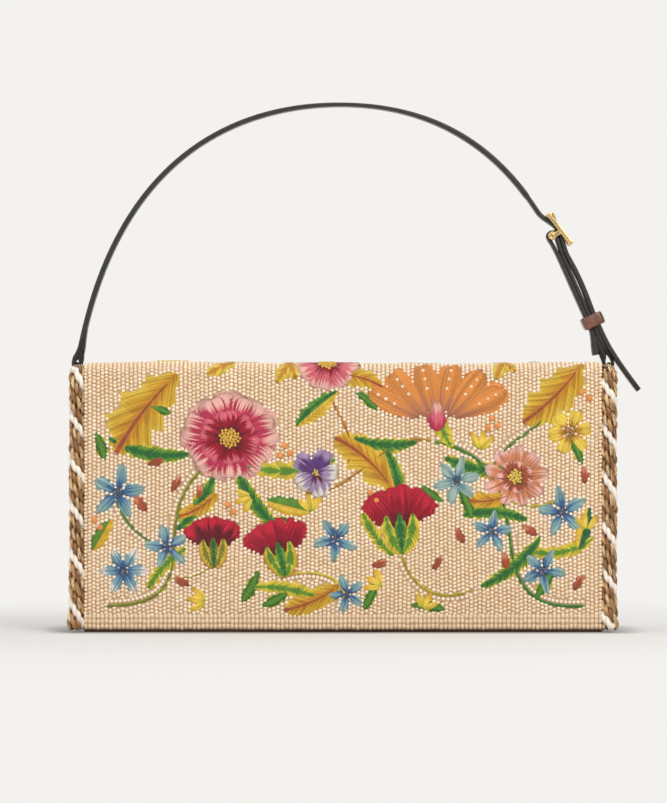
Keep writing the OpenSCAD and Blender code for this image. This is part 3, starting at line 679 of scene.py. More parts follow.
def stem(points, width, colours, pearl=0.0):
    """A raised line of slanting stitches along a cubic curve of four points; pearl sets a row of round
    beads at that distance beside it."""
    line = bezier(points, 90)
    ahead = unit(np.gradient(line, axis=0))
    normal = stack(-ahead[:, 1], ahead[:, 0])
    run = run_of(line)
    half = width / 2 * np.clip(np.minimum(run, run[-1] - run) / 1.5, 0.1, 1)
    half = half * (1 + 0.12 * np.sin(run * 2.9))
    v = np.sin(np.linspace(-QUARTER, QUARTER, 7))
    height = -1.3 + 1.25 * np.clip(half * 2, 0, 1)[:, None] * (1 - np.abs(v) ** 2.4) ** 0.5
    u = run[:, None] + v * width * 0.9 + chance.integers(1, 900)
    add_patch(line, normal, half, v, height, u, np.abs(v), colours)
    if pearl:
        at = np.arange(1.5, run[-1] - 1.5, 2.25)
        pearls.extend(stack(*[np.interp(at, run, line[:, n] + pearl * normal[:, n]) for n in (0, 1)]))


def vein(line, normal, share, width, colour):
    """A thin ridge along the middle of a leaf that is already there."""
    n = int(len(line) * share)
    v = np.linspace(-1, 1, 5)
    u = (np.linspace(0, n * 0.75, n)[:, None] + v * 0.6) / 0.9 + chance.integers(1, 900)
    height = 0.02 + 0.3 * (1 - v ** 2)
    half = width / 2 * np.linspace(1, 0.35, n)
    add_patch(line[:n], normal[:n], half, v, height, u, 0.5, [colour] * 3, over=True)


# %% [markdown]
# ## Flowers of the garden
# A flower is a ring of petals round a heart of knots. The kinds below differ in how many petals they have,
# how the petals are shaped and where their threads change colour.

# %% Kinds of flower
def bloom(x, s, radius, count, colours, start=0.0, width=0.9, belly=(0.8, 0.4), notch=0.0, inner=0.18,
          squash=1.0, lift=0.0):
    """Petals all round: each leaves from a small inner circle, its length is the radius."""
    for k in range(count):
        heading = start + 360 / count * k
        across, along = math.cos(math.radians(heading)), math.sin(math.radians(heading))
        size = radius * (squash + (1 - squash) * abs(across)) * chance.uniform(0.95, 1.05)
        stitch(x + inner * radius * across, s + inner * radius * squash * along, size * (1 - inner),
               radius * width, heading, colours, belly=belly, radial=True, notch=notch, lift=lift)


def heart(x, s, radius, colour, size=0.75, squash=1.0):
    """A tight spiral of knots: the angle grows by the golden angle, the distance by a square root."""
    count = int((radius / size) ** 2 * 0.95 * squash) + 1
    k = np.arange(count)
    r, a = radius * np.sqrt((k + 0.5) / count), k * 2.39996
    for px, ps in zip(x + r * np.cos(a), s + squash * r * np.sin(a)):
        knots.append((px, ps, size * chance.uniform(0.85, 1.1), 1.0, colour))


def carnation(x, s, size, heading, petals=("wine", "crimson", "red"), cup=("leaf", "lime", "yellow")):
    """A fan of three fringed petals on a cup of three slim leaves."""
    for k, spread in enumerate((-34, 34, 0)):
        a = math.radians(heading + spread * 0.4)
        stitch(x + size * 0.34 * math.cos(a), s + size * 0.34 * math.sin(a), size * 0.74, size * 0.62,
               heading + spread, petals, belly=(0.75, 0.3), radial=True, teeth=0.14, rise=0.9, lift=0.1 * k)
    a = math.radians(heading)
    for spread, colours in ((38, cup), (-38, cup), (0, ("green", cup[0], cup[1]))):
        stitch(x - size * 0.12 * math.cos(a), s - size * 0.12 * math.sin(a), size * 0.8, size * 0.34,
               heading + spread, colours, bend=-spread * 1.1, belly=(0.6, 0.8), rise=1.0, lift=0.2)


def star(x, s, radius, start=90, count=5, colours=("blue", "sky", "aqua")):
    """A star flower of slim pointed petals with a dark heart."""
    bloom(x, s, radius, count, colours, start, width=0.5, belly=(0.7, 0.75), inner=0.1)
    heart(x, s, radius * 0.16, "deep_blue", 0.6)


def pansy(x, s, radius, heading=0.0):
    violet, lilac = ("violet", "violet", "lilac"), ("violet", "lilac", "pale")
    for spread, colours, size in ((130, violet, 1.0), (50, violet, 1.0), (195, lilac, 0.9),
                                  (-15, lilac, 0.9), (-90, ("wine", "lilac", "pale"), 1.05)):
        stitch(x, s, radius * size, radius * 0.95, heading + spread, colours, belly=(0.7, 0.32),
               radial=True, rise=0.85)
    heart(x, s, radius * 0.14, "yellow", 0.65)


def golden_leaf(x, s, length, width, heading, bend=0.0, lobes=(0, 0)):
    line, normal = stitch(x, s, length, width, heading, ("amber", "gold", "yellow"), bend, (0.55, 0.7),
                          lobes=(lobes[0], lobes[1] * 1.7), slant=1.4, teeth=0.13)
    vein(line, normal, 0.86, 0.05 * length, "terracotta")


def halved_leaf(x, s, length, width, heading, left, right):
    """Two slim patches that part at the foot and meet again at the tip, each in its own colours."""
    for side, colours in ((1, left), (-1, right)):
        stitch(x, s, length, width * 0.58, heading + 16 * side, colours, -32 * side, (0.5, 0.6),
               slant=1.2 * side)


# %% [markdown]
# ## The layout
# Two winding stems cross the flap from its lower corners, and everything else grows from them: a large
# rose at the left, fringed carnations at the right, star flowers, a pansy, golden leaves and long blades.
# Some motifs run on over the top edge, because the cloth was stitched before it was cut.

# %% Stems and blades
LEAF_GREENS, LIMES = ("green", "leaf", "leaf"), ("olive", "lime", "lime")
AMBERS, GOLDS = ("amber", "yellow", "yellow"), ("yellow", "gold", "gold")
for points, width, colours, pearl in (
        ([(-122, 12), (-58, 12), (-112, 62), (-60, 90)], 1.8, ("olive", "leaf", "lime"), 2.1),
        ([(124, 12), (58, 6), (112, 84), (46, 96)], 1.8, LEAF_GREENS, -2.1),
        ([(46, 96), (20, 104), (6, 66), (-20, 70)], 1.5, ("olive", "amber", "amber"), 0),
        ([(-2, 8), (8, 26), (-14, 34), (-34, 26)], 1.5, ("lime", "yellow", "yellow"), 2.0),
        ([(66, 20), (46, 12), (34, 24), (30, 38)], 1.5, LIMES, 2.0),
        ([(84, 66), (98, 60), (108, 64), (114, 70)], 1.2, ("leaf", "lime", "lime"), 0),
        ([(-96, 44), (-108, 50), (-114, 58), (-116, 68)], 1.2, ("leaf", "green", "leaf"), 1.9),
        ([(-88, 26), (-74, 26), (-68, 30), (-64, 38)], 1.3, LIMES, 0),
        ([(2, 84), (10, 100), (-10, 116), (-8, 128)], 1.3, ("terracotta", "amber", "amber"), 0),
        ([(76, 82), (84, 98), (98, 100), (102, 108)], 1.3, LEAF_GREENS, 1.9)):
    stem(points, width, colours, pearl)
BLADES = (("green", "leaf", "lime"), ("leaf", "lime", "yellow"), ("green", "leaf", "yellow"))
for x, s, length, width, heading, bend in (
        (-50, 84, 48, 10, -18, 44), (-54, 80, 38, 10, -66, 26), (-66, 78, 34, 9.5, -112, -26),
        (-78, 90, 44, 9.5, 192, -46), (94, 56, 34, 9, 158, 36), (96, 40, 34, 8.5, -14, 52),
        (70, 22, 42, 9, 20, 40), (22, 92, 34, 8.5, -62, -34), (-12, 16, 36, 8.5, 158, 26),
        (56, 92, 42, 10, 122, -36), (-100, 20, 30, 8, 64, -34), (38, 96, 34, 8.5, 196, -40),
        (52, 88, 38, 9.5, -30, 44), (10, 60, 28, 8, -70, 30)):
    stitch(x, s, length, width, heading, BLADES[(s + x) % 3], bend, (0.45, 0.5), slant=1.1, teeth=0.09)
for x, s, length, heading in (
        (-52, 14, 19, 50), (-42, 12, 17, 16), (98, 16, 20, 48), (52, 10, 18, 160), (10, 10, 18, 54),
        (-122, 86, 17, 96), (66, 56, 18, 100), (40, 74, 15, -50), (-88, 110, 15, 150), (18, 112, 16, 130),
        (122, 84, 16, 100), (-24, 52, 15, 150)):
    stitch(x, s, length, length * 0.42, heading, ("leaf", "green", "lime"), bend=26, slant=1.2)

# %% Golden leaves and halved leaves
for x, s, length, width, heading, bend, lobes in (
        (-116, 90, 52, 27, 62, -20, (4, 0.1)), (-4, 98, 42, 21, -26, -34, (3, 0.08)),
        (92, 106, 44, 22, 34, 22, (4, 0.1)), (-30, 10, 32, 14, 10, 30, (0, 0)),
        (64, 66, 24, 12, -10, 40, (0, 0)), (-84, 58, 24, 11, 12, 40, (0, 0)),
        (20, 124, 26, 12, 150, 30, (0, 0))):
    golden_leaf(x, s, length, width, heading, bend, lobes)
halved_leaf(-40, 66, 26, 11, -14, ("leaf", "leaf", "green"), GOLDS)
halved_leaf(120, 40, 24, 10, 76, GOLDS, ("green", "teal", "teal"))
halved_leaf(-24, 104, 28, 12, 40, LEAF_GREENS, ("gold", "yellow", "yellow"))
halved_leaf(-128, 40, 20, 9, 60, ("leaf", "leaf", "green"), ("gold", "gold", "yellow"))

# %% Flowers
for radius, count, colours, start, width, belly, notch, lift in (
        (25, 7, ("crimson", "rose", "blush"), 12, 0.98, (0.75, 0.3), 0.12, 0.0),
        (15.5, 6, ("wine", "crimson", "pink"), 40, 0.95, (0.75, 0.35), 0.0, 0.35)):
    bloom(-58, 98, radius, count, colours, start, width, belly, notch, squash=0.88, lift=lift)
heart(-58, 98, 5.6, "gold", 0.85, 0.88)
for radius, count, colours, start, width, lift in (
        (17, 9, ("terracotta", "coral", "blush"), 5, 0.62, 0.0),
        (9.5, 7, ("brown", "terracotta", "blush"), 25, 0.7, 0.3)):
    bloom(88, 78, radius, count, colours, start, width, (0.7, 0.5), squash=0.92, lift=lift)
heart(88, 78, 3.6, "yellow", 0.8)
carnation(30, 42, 29, 94)
carnation(-30, 30, 25, 104, cup=("leaf", "lime", "amber"))
carnation(-66, 34, 22, 92, ("wine", "wine", "red"), ("olive", "lime", "orange"))
pansy(-14, 80, 12.5, 14)
bloom(116, 101, 12, 6, AMBERS, 10, 0.75, (0.7, 0.45))
heart(116, 101, 2.2, "ochre", 0.7)
for x, s, radius, start in ((-115, 70, 15, 80), (-90, 42, 12.5, 30), (112, 60, 13.5, 100),
                            (102, 30, 12.5, 64), (-4, 46, 12, 50), (76, 50, 11.5, 10),
                            (2, 18, 10.5, 110)):
    star(x, s, radius, start)
star(58, 76, 13, 15, 6, ("sky", "aqua", "aqua"))
star(-112, 30, 13, 0, 6, ("blue", "sky", "pale"))
for x, s, length, heading in (
        (-100, 60, 11, 130), (-88, 70, 10, 60), (100, 48, 10, 150), (118, 20, 10, 60), (62, 44, 10, 120),
        (-78, 22, 10, 150), (14, 32, 10, 20), (84, 30, 10, 100), (124, 74, 10, 95), (-100, 84, 10, 20),
        (-74, 66, 9, 80), (46, 30, 9, 60)):
    stitch(x, s, length, length * 0.45, heading, ("terracotta", "terracotta", "coral"), belly=(0.7, 0.7),
           radial=True, rise=0.7)

# %% A fan flower over the top edge, berries and small things
for k, spread in enumerate((-68, -42, -14, 14, 42, 68)):
    foot, heading = 48 + 0.12 * spread, 90 - 0.9 * spread
    stitch(foot, 108, 30, 14.5, heading, ("coral", "orange", "orange"), belly=(0.8, 0.32), radial=True,
           teeth=0.1, rise=0.7, lift=0.04 * k)
    a = math.radians(heading)
    for reach in (15.5, 20.5, 25.0):
        knots.append((foot + reach * math.cos(a), 108 + reach * math.sin(a), 1.1, 0.75, "cream"))
stitch(48, 101, 16, 11, 90, ("rose", "pink", "blush"), belly=(0.6, 0.6), radial=True, lift=0.3)
bloom(-8, 138, 17, 7, ("crimson", "pink", "blush"), 0, 0.9, (0.75, 0.32), squash=0.9)
heart(-8, 138, 4.6, "gold", 0.85)
for x, s, heading in ((-34, 126, 60), (-24, 128, 110), (78, 128, 70), (88, 132, 130), (-70, 130, 30),
                      (-96, 142, 10)):
    stitch(x, s, 18, 8.5, heading, AMBERS, belly=(0.55, 0.7), slant=1.3)
for x, s in ((-30, 94), (-27, 90), (-32, 89), (76, 108), (79, 104), (74, 103), (-127, 56), (-124, 52),
             (126, 118), (122, 121), (14, 70), (17, 66), (-56, 60), (-59, 64)):
    knots.append((x, s, 1.8, 0.35, "orange"))
for x, s, heading in ((-46, 68, 200), (20, 22, 150), (-70, 14, 170), (40, 10, 60), (124, 50, 90),
                      (-16, 60, 100), (70, 92, 80)):
    for spread in (-38, 0, 38):
        stitch(x, s, 11, 4.2, heading + spread, ("lime", "yellow", "gold"), radial=True, rise=0.5)
for x, s, heading in ((-60, 152, 20), (30, 154, -10), (96, 150, 60)):
    golden_leaf(x, s, 20, 9, heading, 20)
print(len(patches), "stitched patches,", len(knots), "knots,", len(pearls), "pearls")

# %% [markdown]
# ## Beads
# The ground of the flap is thousands of small glass beads in straight columns. Each is half an ellipsoid
# of 40 triangles, worked out for all beads at once from one small template, then laid on the flap with
# the function above, so they follow the folds. A bead that falls inside a stitched patch is left out, and
# those next to one are paler, as in the real work, where a row of pearls outlines the motifs.

# %% Domes
def dome(segments, levels):
    """Half a ball of radius 1: rings at the given angles from the pole, and the pole itself."""
    a, tilt = np.linspace(0, 2 * np.pi, segments, endpoint=False), np.radians(levels)[:, None]
    rings = stack(np.cos(a) * np.sin(tilt), np.sin(a) * np.sin(tilt), np.cos(tilt)).reshape(-1, 3)
    quads = grid_faces(len(levels), segments, closed=True)
    last = len(rings) - segments + np.arange(segments)
    fan = stack(last, np.roll(last, -1), len(rings))
    faces = np.concatenate([quads[:, [0, 1, 2]], quads[:, [0, 2, 3]], fan])
    return np.concatenate([rings, [[0, 0, 1]]]), faces


BEAD, BACK_BEAD, THREAD_END = dome(8, (90, 60, 30)), dome(8, (90, 52)), dome(6, (90, 40))


def strew(surface, centres, sizes, base=0.0, turn=None, shape=THREAD_END, out=True):
    """Domes on a surface: template points scaled by sizes (across, along, high), turned, moved to the
    centres and passed to the surface function; out tells whether their faces look outwards."""
    points, faces = shape
    sizes = np.broadcast_to(sizes, (len(centres), 3))
    flat = points[None, :, :2] * sizes[:, None, :2]
    if turn is not None:
        c, s = np.cos(turn)[:, None], np.sin(turn)[:, None]
        flat = stack(flat[..., 0] * c - flat[..., 1] * s, flat[..., 0] * s + flat[..., 1] * c)
    place = centres[:, None] + flat
    laid = surface(place[..., 0], place[..., 1], base + points[None, :, 2] * sizes[:, 2:3])
    faces = (faces[None] + np.arange(len(centres))[:, None, None] * len(points)).reshape(-1, 3)
    return laid.reshape(-1, 3), faces if out else faces[:, ::-1]


# %% The field of beads and its gaps
def inside(points, outline):
    """Truth per point: how often a ray to the right crosses the outline's edges, odd or even."""
    a, b = outline, np.roll(outline, -1, axis=0)
    px, py = points[:, :1], points[:, 1:]
    crosses = (a[:, 1] > py) != (b[:, 1] > py)
    rise = np.where(np.abs(b[:, 1] - a[:, 1]) < 1e-9, 1e-9, b[:, 1] - a[:, 1])
    reach = a[:, 0] + (py - a[:, 1]) / rise * (b[:, 0] - a[:, 0])
    return (crosses & (px < reach)).sum(1) % 2 == 1


def clear_of_patches(points):
    """(kept, near) for points in x, s: kept are outside every patch, near is 1 at a patch's rim and
    falls to 0 at 2.4 mm."""
    kept, gap = np.ones(len(points), bool), np.full(len(points), 99.0)
    for flat in [patch["flat"] for patch in patches if not patch["over"]]:
        rim = np.concatenate([flat[:, 0], flat[::-1, -1]])
        broad = np.linalg.norm(flat[:, 0] - flat[:, -1], axis=1).max()
        low, high = rim.min(0) - 3, rim.max(0) + 3
        close = np.flatnonzero(((points > low) & (points < high)).all(1))
        if len(close):
            far = np.linalg.norm(points[close][:, None] - rim[None], axis=2).min(1)
            kept[close] &= ~inside(points[close], rim) | (far < np.clip(0.13 * broad, 0.25, 0.85))
            gap[close] = np.minimum(gap[close], far)
    return kept, np.clip(1 - (gap - 0.7) / 1.9, 0, 1)


COLUMN, ROW, HALF_COUNT = 2.14, 1.98, 62
COLUMNS = np.arange(-HALF_COUNT, HALF_COUNT) + 0.5


def bead_field(s_from, s_to):
    """Centres of beads between two lengths of the flap's line: slightly wavy columns, and every second
    one is shifted by half a bead."""
    gx, gs = np.meshgrid(COLUMNS * COLUMN, np.arange(s_from, s_to, ROW))
    drift = 0.4 * np.sin(gs / 21 + gx / 43) * np.clip((FLAP_X - np.abs(gx)) / 12, 0, 1)
    shifted = 0.5 * ((COLUMNS - 0.5) % 2) + 0.14 * np.sin(COLUMNS * 1.7)
    slip = ROW * (shifted + 0.2 * np.sin(COLUMNS / 6.1 + gs / 37))
    centres = stack(gx + drift, gs + slip).reshape(-1, 2)
    return centres + chance.normal(0, 0.06, centres.shape)


def lay_beads(name, centres, pale, sizes, on, shape=BEAD):
    """Two pieces of beads, left and right of the middle."""
    for side, part in (("_left", centres[:, 0] < 0), ("_right", centres[:, 0] >= 0)):
        laid = strew(on_flap, centres[part], sizes[part], -1.1, shape=shape)
        tone = np.clip(chance.normal(0.55, 0.24, part.sum()), 0, 1)
        # low is painted shade, growing towards each dome's base, where the beads meet.
        low = np.tile((1 - shape[0][:, 2]) ** 2 * 0.8, part.sum())
        count = len(shape[0])
        make_piece(name + side, laid, BEADS, on=on, values={
            "tone": np.repeat(tone, count), "pale": np.repeat(pale[part], count), "low": low})


# %% Beads of the flap and of the back
FLAP_BLEND = ("flap_top", "flap_front", (0, -0.0185, BAG_TOP * MM), (0, FLAP_FRONT_Y * MM, 0.1245))
YOKE_BLEND = ("body", "flap_top", (0, 0.0125, BAG_TOP * MM), (0, 0.0035, BAG_TOP * MM))
HEM, SPLIT = 8.0, HINGE_S - 12.0
BEAD_SIZE, PEARL_SIZE, LEAST_GAP = np.array([1.1, 1.06, 1.12]), [1.1, 1.1, 1.25], 1.6
field = bead_field(HEM, SPLIT)
spots = np.array(pearls)
spots = spots[clear_of_patches(spots)[0] & (np.abs(spots[:, 0]) < 129)]
kept, near = clear_of_patches(field)
kept &= np.linalg.norm(field[:, None] - spots[None], axis=2).min(1) > LEAST_GAP
field, near = field[kept], near[kept]
sizes = BEAD_SIZE * chance.normal(1, 0.045, (len(field), 1)) * (1 + 0.04 * near[:, None])
pale = np.concatenate([0.4 * near, np.full(len(spots), 0.7)])
sizes = np.concatenate([sizes, np.tile(PEARL_SIZE, (len(spots), 1))])
lay_beads("flap_beads", np.concatenate([field, spots]), pale, sizes, FLAP_BLEND)
field = bead_field(SPLIT + ROW / 2, LINE_END - HEM - 1.4)
kept, near = clear_of_patches(field)
field, near = field[kept], near[kept]
lay_beads("back_beads", field, 0.4 * near, BEAD_SIZE * chance.normal(1, 0.045, (len(field), 1)), YOKE_BLEND,
          BACK_BEAD)


# %% [markdown]
# Along the bottom edge each column ends in three longer beads that curl under the hem. They are the same
# domes, stretched along the flap, with painted shade that darkens them towards the edge, where they turn
# away. The back panel ends in the same band.

# %% Long beads of the hems
def lay_hem(name, middle, painted_shade, on):
    rib_x, rib_s = np.meshgrid(COLUMNS * COLUMN, middle + np.array([-2.6, 0, 2.6]))
    ribs = stack(rib_x, rib_s + chance.normal(0, 0.12, rib_x.shape)).reshape(-1, 2)
    points, faces = strew(on_flap, ribs, (1.09, 1.62, 1.0), -1.15, shape=BEAD)
    tone = np.repeat(np.clip(chance.normal(0.42, 0.2, len(ribs)), 0, 1), len(BEAD[0]))
    # Painted shade: the colour darkens towards the bottom edge, where the beads turn away from the light,
    # and at each bead's base.
    edge = 1 - np.clip((points[:, 2] - FLAP_LOW_Z) / HEM, 0, 1)
    low = 0.1 + painted_shade * edge ** 2 + 0.65 * np.tile((1 - BEAD[0][:, 2]) ** 2, len(ribs))
    make_piece(name, (points, faces), BEADS, on=on,
               values={"tone": tone, "pale": 0 * tone, "low": np.clip(low, 0, 1)})


lay_hem("hem_beads", HEM / 2, 0.7, FLAP_BLEND)
lay_hem("back_hem_beads", LINE_END - 5.2, 0.5, "body")

# %% Embroidery and knots
parts = []
for patch in [patch for patch in patches if patch["flat"][..., 1].mean() < SPLIT]:
    flat = patch["flat"]
    points = on_flap(flat[..., 0], flat[..., 1], patch["height"]).reshape(-1, 3)
    tints = [np.tile(colour, (len(points), 1)) for colour in patch["colours"]]
    parts.append((points, grid_faces(*flat.shape[:2])[:, ::-1], patch["uv"].reshape(-1, 2), *tints))
*surface, inner, middle, outer = join(parts)
make_piece("embroidery", surface, STITCHED, on=FLAP_BLEND, crease=80,
           colours={"inner": inner, "middle": middle, "outer": outer})
across, along, radius, height, colours = zip(*knots)
laid = strew(on_flap, stack(across, along), stack(radius, radius, np.array(radius) * 0.9),
             np.array(height)[:, None] - 0.9, shape=BEAD)
count = len(BEAD[0])
turns = np.tile(np.linspace(0, 4, count), len(knots))
uv = stack(turns + np.repeat(np.arange(len(knots)), count) * 7, turns / 4)
tints = np.repeat([THREADS[colour] for colour in colours], count, axis=0)
make_piece("knots", (*laid, uv), KNOTS, on=FLAP_BLEND, colours={"tint": tints})


# %% [markdown]
# ## The cloth under the beads
# One wall of cloth carries the beads: its outer face lies a bead's radius under the skin, its inner face
# at the lining. At the bottom edge it is turned under, so its section ends in a half circle. The back
# cloth is a piece of its own, because the flap hinges where the two meet.

# %% Ground cloth
def cloth_wall(half_width, s, top, under, columns=90, hem=False):
    """A wall of cloth on the flap's line between two heights; hem rounds its first edge."""
    x, s = np.linspace(-half_width, half_width, columns), s[:, None]
    squeeze = np.clip((s - s.min()) / 1.3, 0, 1) if hem else 1.0
    middle, half = (top + under) / 2, (top - under) / 2 * np.sqrt(1 - (1 - squeeze) ** 2)
    return wall(on_flap(x, s, middle + half), on_flap(x, s, middle - half), stack(x, s))


UNDER_BEADS, UNDER_CLOTH, LINING_FACE = -1.1, -2.8, -3.85
rows = stations(3, (UP, 50), (FOLD_END, 9), (HINGE_S - 0.15, 16))
rows = np.concatenate([[0, 0.15, 0.4, 0.8, 1.3], rows])
make_piece("flap_cloth", cloth_wall(FLAP_X, rows, UNDER_BEADS, UNDER_CLOTH, hem=True), GROUND,
           ("flap_top_panel", "flap_front_panel"), FLAP_BLEND)
rows = stations(HINGE_S + 0.15, (TOP_END, 6), (BACK_FOLD_END, 10), (LINE_END, 40))
make_piece("back_cloth", cloth_wall(BODY_X - 0.1, rows, UNDER_BEADS, -4.0), GROUND,
           ("back_panel",), "body")

# %% [markdown]
# ## The flap's lining
# A plain woven cloth, set in from the edges and sewn down near them. A narrow strip under the back fold
# bridges the hinge.

# %% Flap lining and its stitches
rows = stations(3, (UP, 64), (FOLD_END, 8), (HINGE_S - 0.2, 14))
sheet = cloth_wall(FLAP_X - 3, rows, UNDER_CLOTH, LINING_FACE, 120)
make_piece("flap_lining", sheet, FLAP_LINING, ("flap_top_lining", "flap_front_lining"), FLAP_BLEND)
sheet = cloth_wall(FLAP_X - 3.4, np.linspace(HINGE_S - 13, HINGE_S + 8, 16), -4.0, -4.5, 60)
make_piece("fold_lining", sheet, FLAP_LINING, on=YOKE_BLEND)


def under_flap(x, s, height):
    """As on_flap, with the height counted inwards from the lining's face."""
    return on_flap(x, s, -3.8 - height)


side_s, low_x = np.arange(6, HINGE_S - 16, SEAM_PITCH), np.arange(-122, 123, SEAM_PITCH)
edge = FLAP_X - 5.2
centres = np.concatenate([stack(-edge, side_s), stack(edge, side_s), stack(low_x, 5.4)])
turned = np.repeat([0, QUARTER], [2 * len(side_s), len(low_x)])
make_piece("flap_lining_stitches", strew(under_flap, centres, (0.28, 1.2, 0.25), turn=turned, out=False),
           TAN_THREAD, on=FLAP_BLEND)

# %% [markdown]
# ## The twisted rope
# Four strands wind round each other with one full turn every 24 mm: three are bronze brown, each laid up
# from three plies that twist the other way, and one is smooth ivory, laid up from two. A strand is a helix
# round the rope's path, and a ply is a helix round its strand, so the path needs a frame at each point:
# along it, outward and sideways. The rope follows the flap's edge up and round the fold.

# %% Rope path and strands
SIDEWAYS = np.array([1.0, 0, 0])
STRAND_OUT, WHIPPING_OUT, WHIPPING_TURNS, WHIPPING_ROWS = 2.42, 3.95, 7, 7
BRONZE, IVORY = [(0.62, 0.35, 0.15), (0.38, 0.17, 0.06), (0.86, 0.58, 0.30)], (0.82, 0.73, 0.62)


def rope_path(side, step=0.55):
    """The length so far, the rope's centre and its outward direction: up the front, a quarter circle of
    5 mm, and back along the top."""
    bend = FOLD_R - 2.0
    up, turn, back = UP - ROPE_DROP, bend * QUARTER, HINGE_Y - 6.0 - FRONT_BEND_Y
    length = np.arange(0.0, up + turn + back, step)
    angle = np.clip((length - up) / bend, 0, QUARTER)
    y = FRONT_BEND_Y - bend * np.cos(angle) + np.clip(length - up - turn, 0, None)
    z = BAG_TOP - FOLD_R - ROPE_DROP + bend * np.sin(angle) + np.minimum(length - up, 0)
    outward = stack(0, -np.cos(angle), np.sin(angle))
    flap_s = np.interp(length, [0, up, UP + 4.6, length[-1]], [0, UP, FOLD_END, HINGE_S - 6])
    foot = 0.7 * (side < 0) * np.exp(-((length - 5.0) / 4.0) ** 2)
    lift = wave(side * FLAP_X, flap_s)[:, None]
    return length, stack(side * (ROPE_X + foot), y, z) + lift * outward, outward


def rope_part(rings, uv, tint, groove_shade, metal):
    """A tube with its map and, per point, its tint, its painted shade for the depth in a groove and its
    share of metal thread.
    """
    rows, sides = rings.shape[:2]
    return (rings.reshape(-1, 3), grid_faces(rows, sides, closed=True), uv.reshape(-1, 2),
            np.tile(tint, (rows * sides, 1)), np.broadcast_to(groove_shade, (rows, sides)).ravel(),
            np.full(rows * sides, metal))


def rope_plies(side, start, length, path, outward):
    """All plies of one rope."""
    swell = 1 + 0.05 * np.sin(length / 9.0 + side) + 0.16 * np.exp(-((length - 2.5) / 4.0) ** 2)
    closing = np.clip(np.minimum(length, length[-1] - length) / 1.6, 0, 1)
    closing = np.sqrt(1 - (1 - closing) ** 2)
    along, turn, parts = length[:, None], np.arange(10), []
    for strand in range(4):
        phase = start + strand * QUARTER - 2 * np.pi * length / ROPE_LAY
        phase = phase + 0.3 * np.sin(length / 16 + 2 * side)
        from_axis = np.cos(phase)[:, None] * outward + np.sin(phase)[:, None] * SIDEWAYS
        centre = path + STRAND_OUT * swell[:, None] * from_axis
        ahead = unit(np.gradient(centre, axis=0))
        across = unit(from_axis - (from_axis * ahead).sum(1)[:, None] * ahead)
        up = np.cross(ahead, across)
        ivory = strand == 0
        plies, size, off, lay = (2, 1.28, 0.62, 7.0) if ivory else (3, 0.95, 1.0, 8.5)
        for ply in range(plies):
            twist = ply * 2 * np.pi / plies + strand + length * 2 * np.pi / lay
            twist = twist + 0.5 * np.sin(length / 4.1 + 3 * strand + side)
            middle = centre + off * (np.cos(twist)[:, None] * across + np.sin(twist)[:, None] * up)
            rings = tube(middle, across, up, size * closing * swell, 10)
            # Painted shade in the grooves: the closer a point lies to the rope's axis, the darker it is
            # painted.
            groove_shade = np.clip((3.8 - np.linalg.norm(rings - path[:, None], axis=2)) / 1.1, 0, 1)
            if ivory:
                uv = stack(0.5 + 0.02 * turn, along / 1.1)
                parts.append(rope_part(rings, uv, IVORY, 0.3 * groove_shade, 0.0))
            else:
                uv = stack(turn * 0.9 + along * 0.8 + 40 * strand + 13 * ply, along / 3.0)
                parts.append(rope_part(rings, uv, BRONZE[(ply + strand) % 3], groove_shade, 1.0))
    return parts


def whipping(path, outward, start_row):
    """Seven turns of thin thread that bind the rope's end."""
    turn = np.linspace(0, 2 * WHIPPING_TURNS * np.pi, 170)
    row = start_row + turn / (2 * WHIPPING_TURNS * np.pi) * WHIPPING_ROWS
    at = stack(*[np.interp(row, np.arange(len(path)), path[:, n]) for n in range(3)])
    out = np.cos(turn)[:, None] * outward[-1] + np.sin(turn)[:, None] * SIDEWAYS
    ahead = unit(np.gradient(at + 4.0 * out, axis=0))
    rings = tube(at + WHIPPING_OUT * out, out, np.cross(ahead, out), 0.4, 6)
    return rope_part(rings, stack(np.arange(6) * 0.7 + turn[:, None], turn[:, None]), BRONZE[1], 0.0, 1.0)


for side, name, start in ((-1, "left", 2.6), (1, "right", 0.4)):
    length, path, outward = rope_path(side)
    parts = rope_plies(side, start, length, path, outward) + [whipping(path, outward, len(path) - 12)]
    *surface, tint, groove_shade, metal = join(parts)
    make_piece("rope_" + name, surface, ROPE, (f"rope_front_{name}", f"rope_top_{name}"),
               FLAP_BLEND, {"tint": tint}, {"groove_shade": groove_shade, "metal": metal}, crease=80)

# %% [markdown]
# ## The body
# The front wall and both gussets are one cloth carried round three sides: the path is a U with rounded
# corners, and the wall rises from it. The gussets of a soft bag fold inwards along their middle, more so
# towards the top, and the lining follows them, so both use one function for that pull.

# %% Side wall
WALL_X, WALL_FRONT_Y, CORNER_R = BODY_X - 0.05, -BODY_Y + 0.12, 4.0


def pull(y, z):
    """How far the gusset folds inwards, in mm: a smooth crease about its middle, growing with height,
    none where the ring tab is sewn on."""
    crease = np.clip(1 - np.abs(y + 8.0) / 13.0, 0, 1)
    return (0.8 + 3.4 * np.clip(z / RIM_Z, 0, 1) ** 1.3) * crease ** 2 * (3 - 2 * crease)


def pulled(x, y, z, from_x):
    """x with the gusset's pull, which counts beyond from_x."""
    return x - np.sign(x) * pull(y, z) * (np.abs(x) > from_x)


def u_path(back_y, inset):
    """A U in plan from the back left corner round the front to the back right one: x and y of a wall's
    face, moved inwards by inset."""
    a, r = np.linspace(0, QUARTER, 12), max(CORNER_R - inset, 0.2)
    middle_x, middle_y = WALL_X - CORNER_R, WALL_FRONT_Y + CORNER_R
    left = np.concatenate([stack(inset - WALL_X, np.linspace(back_y, middle_y, 30)[:-1]),
                           stack(-middle_x - r * np.cos(a), middle_y - r * np.sin(a))])
    front = stack(np.linspace(-middle_x, middle_x, 60)[1:-1], WALL_FRONT_Y + inset)
    return np.concatenate([left, front, left[::-1] * [-1, 1]]).T


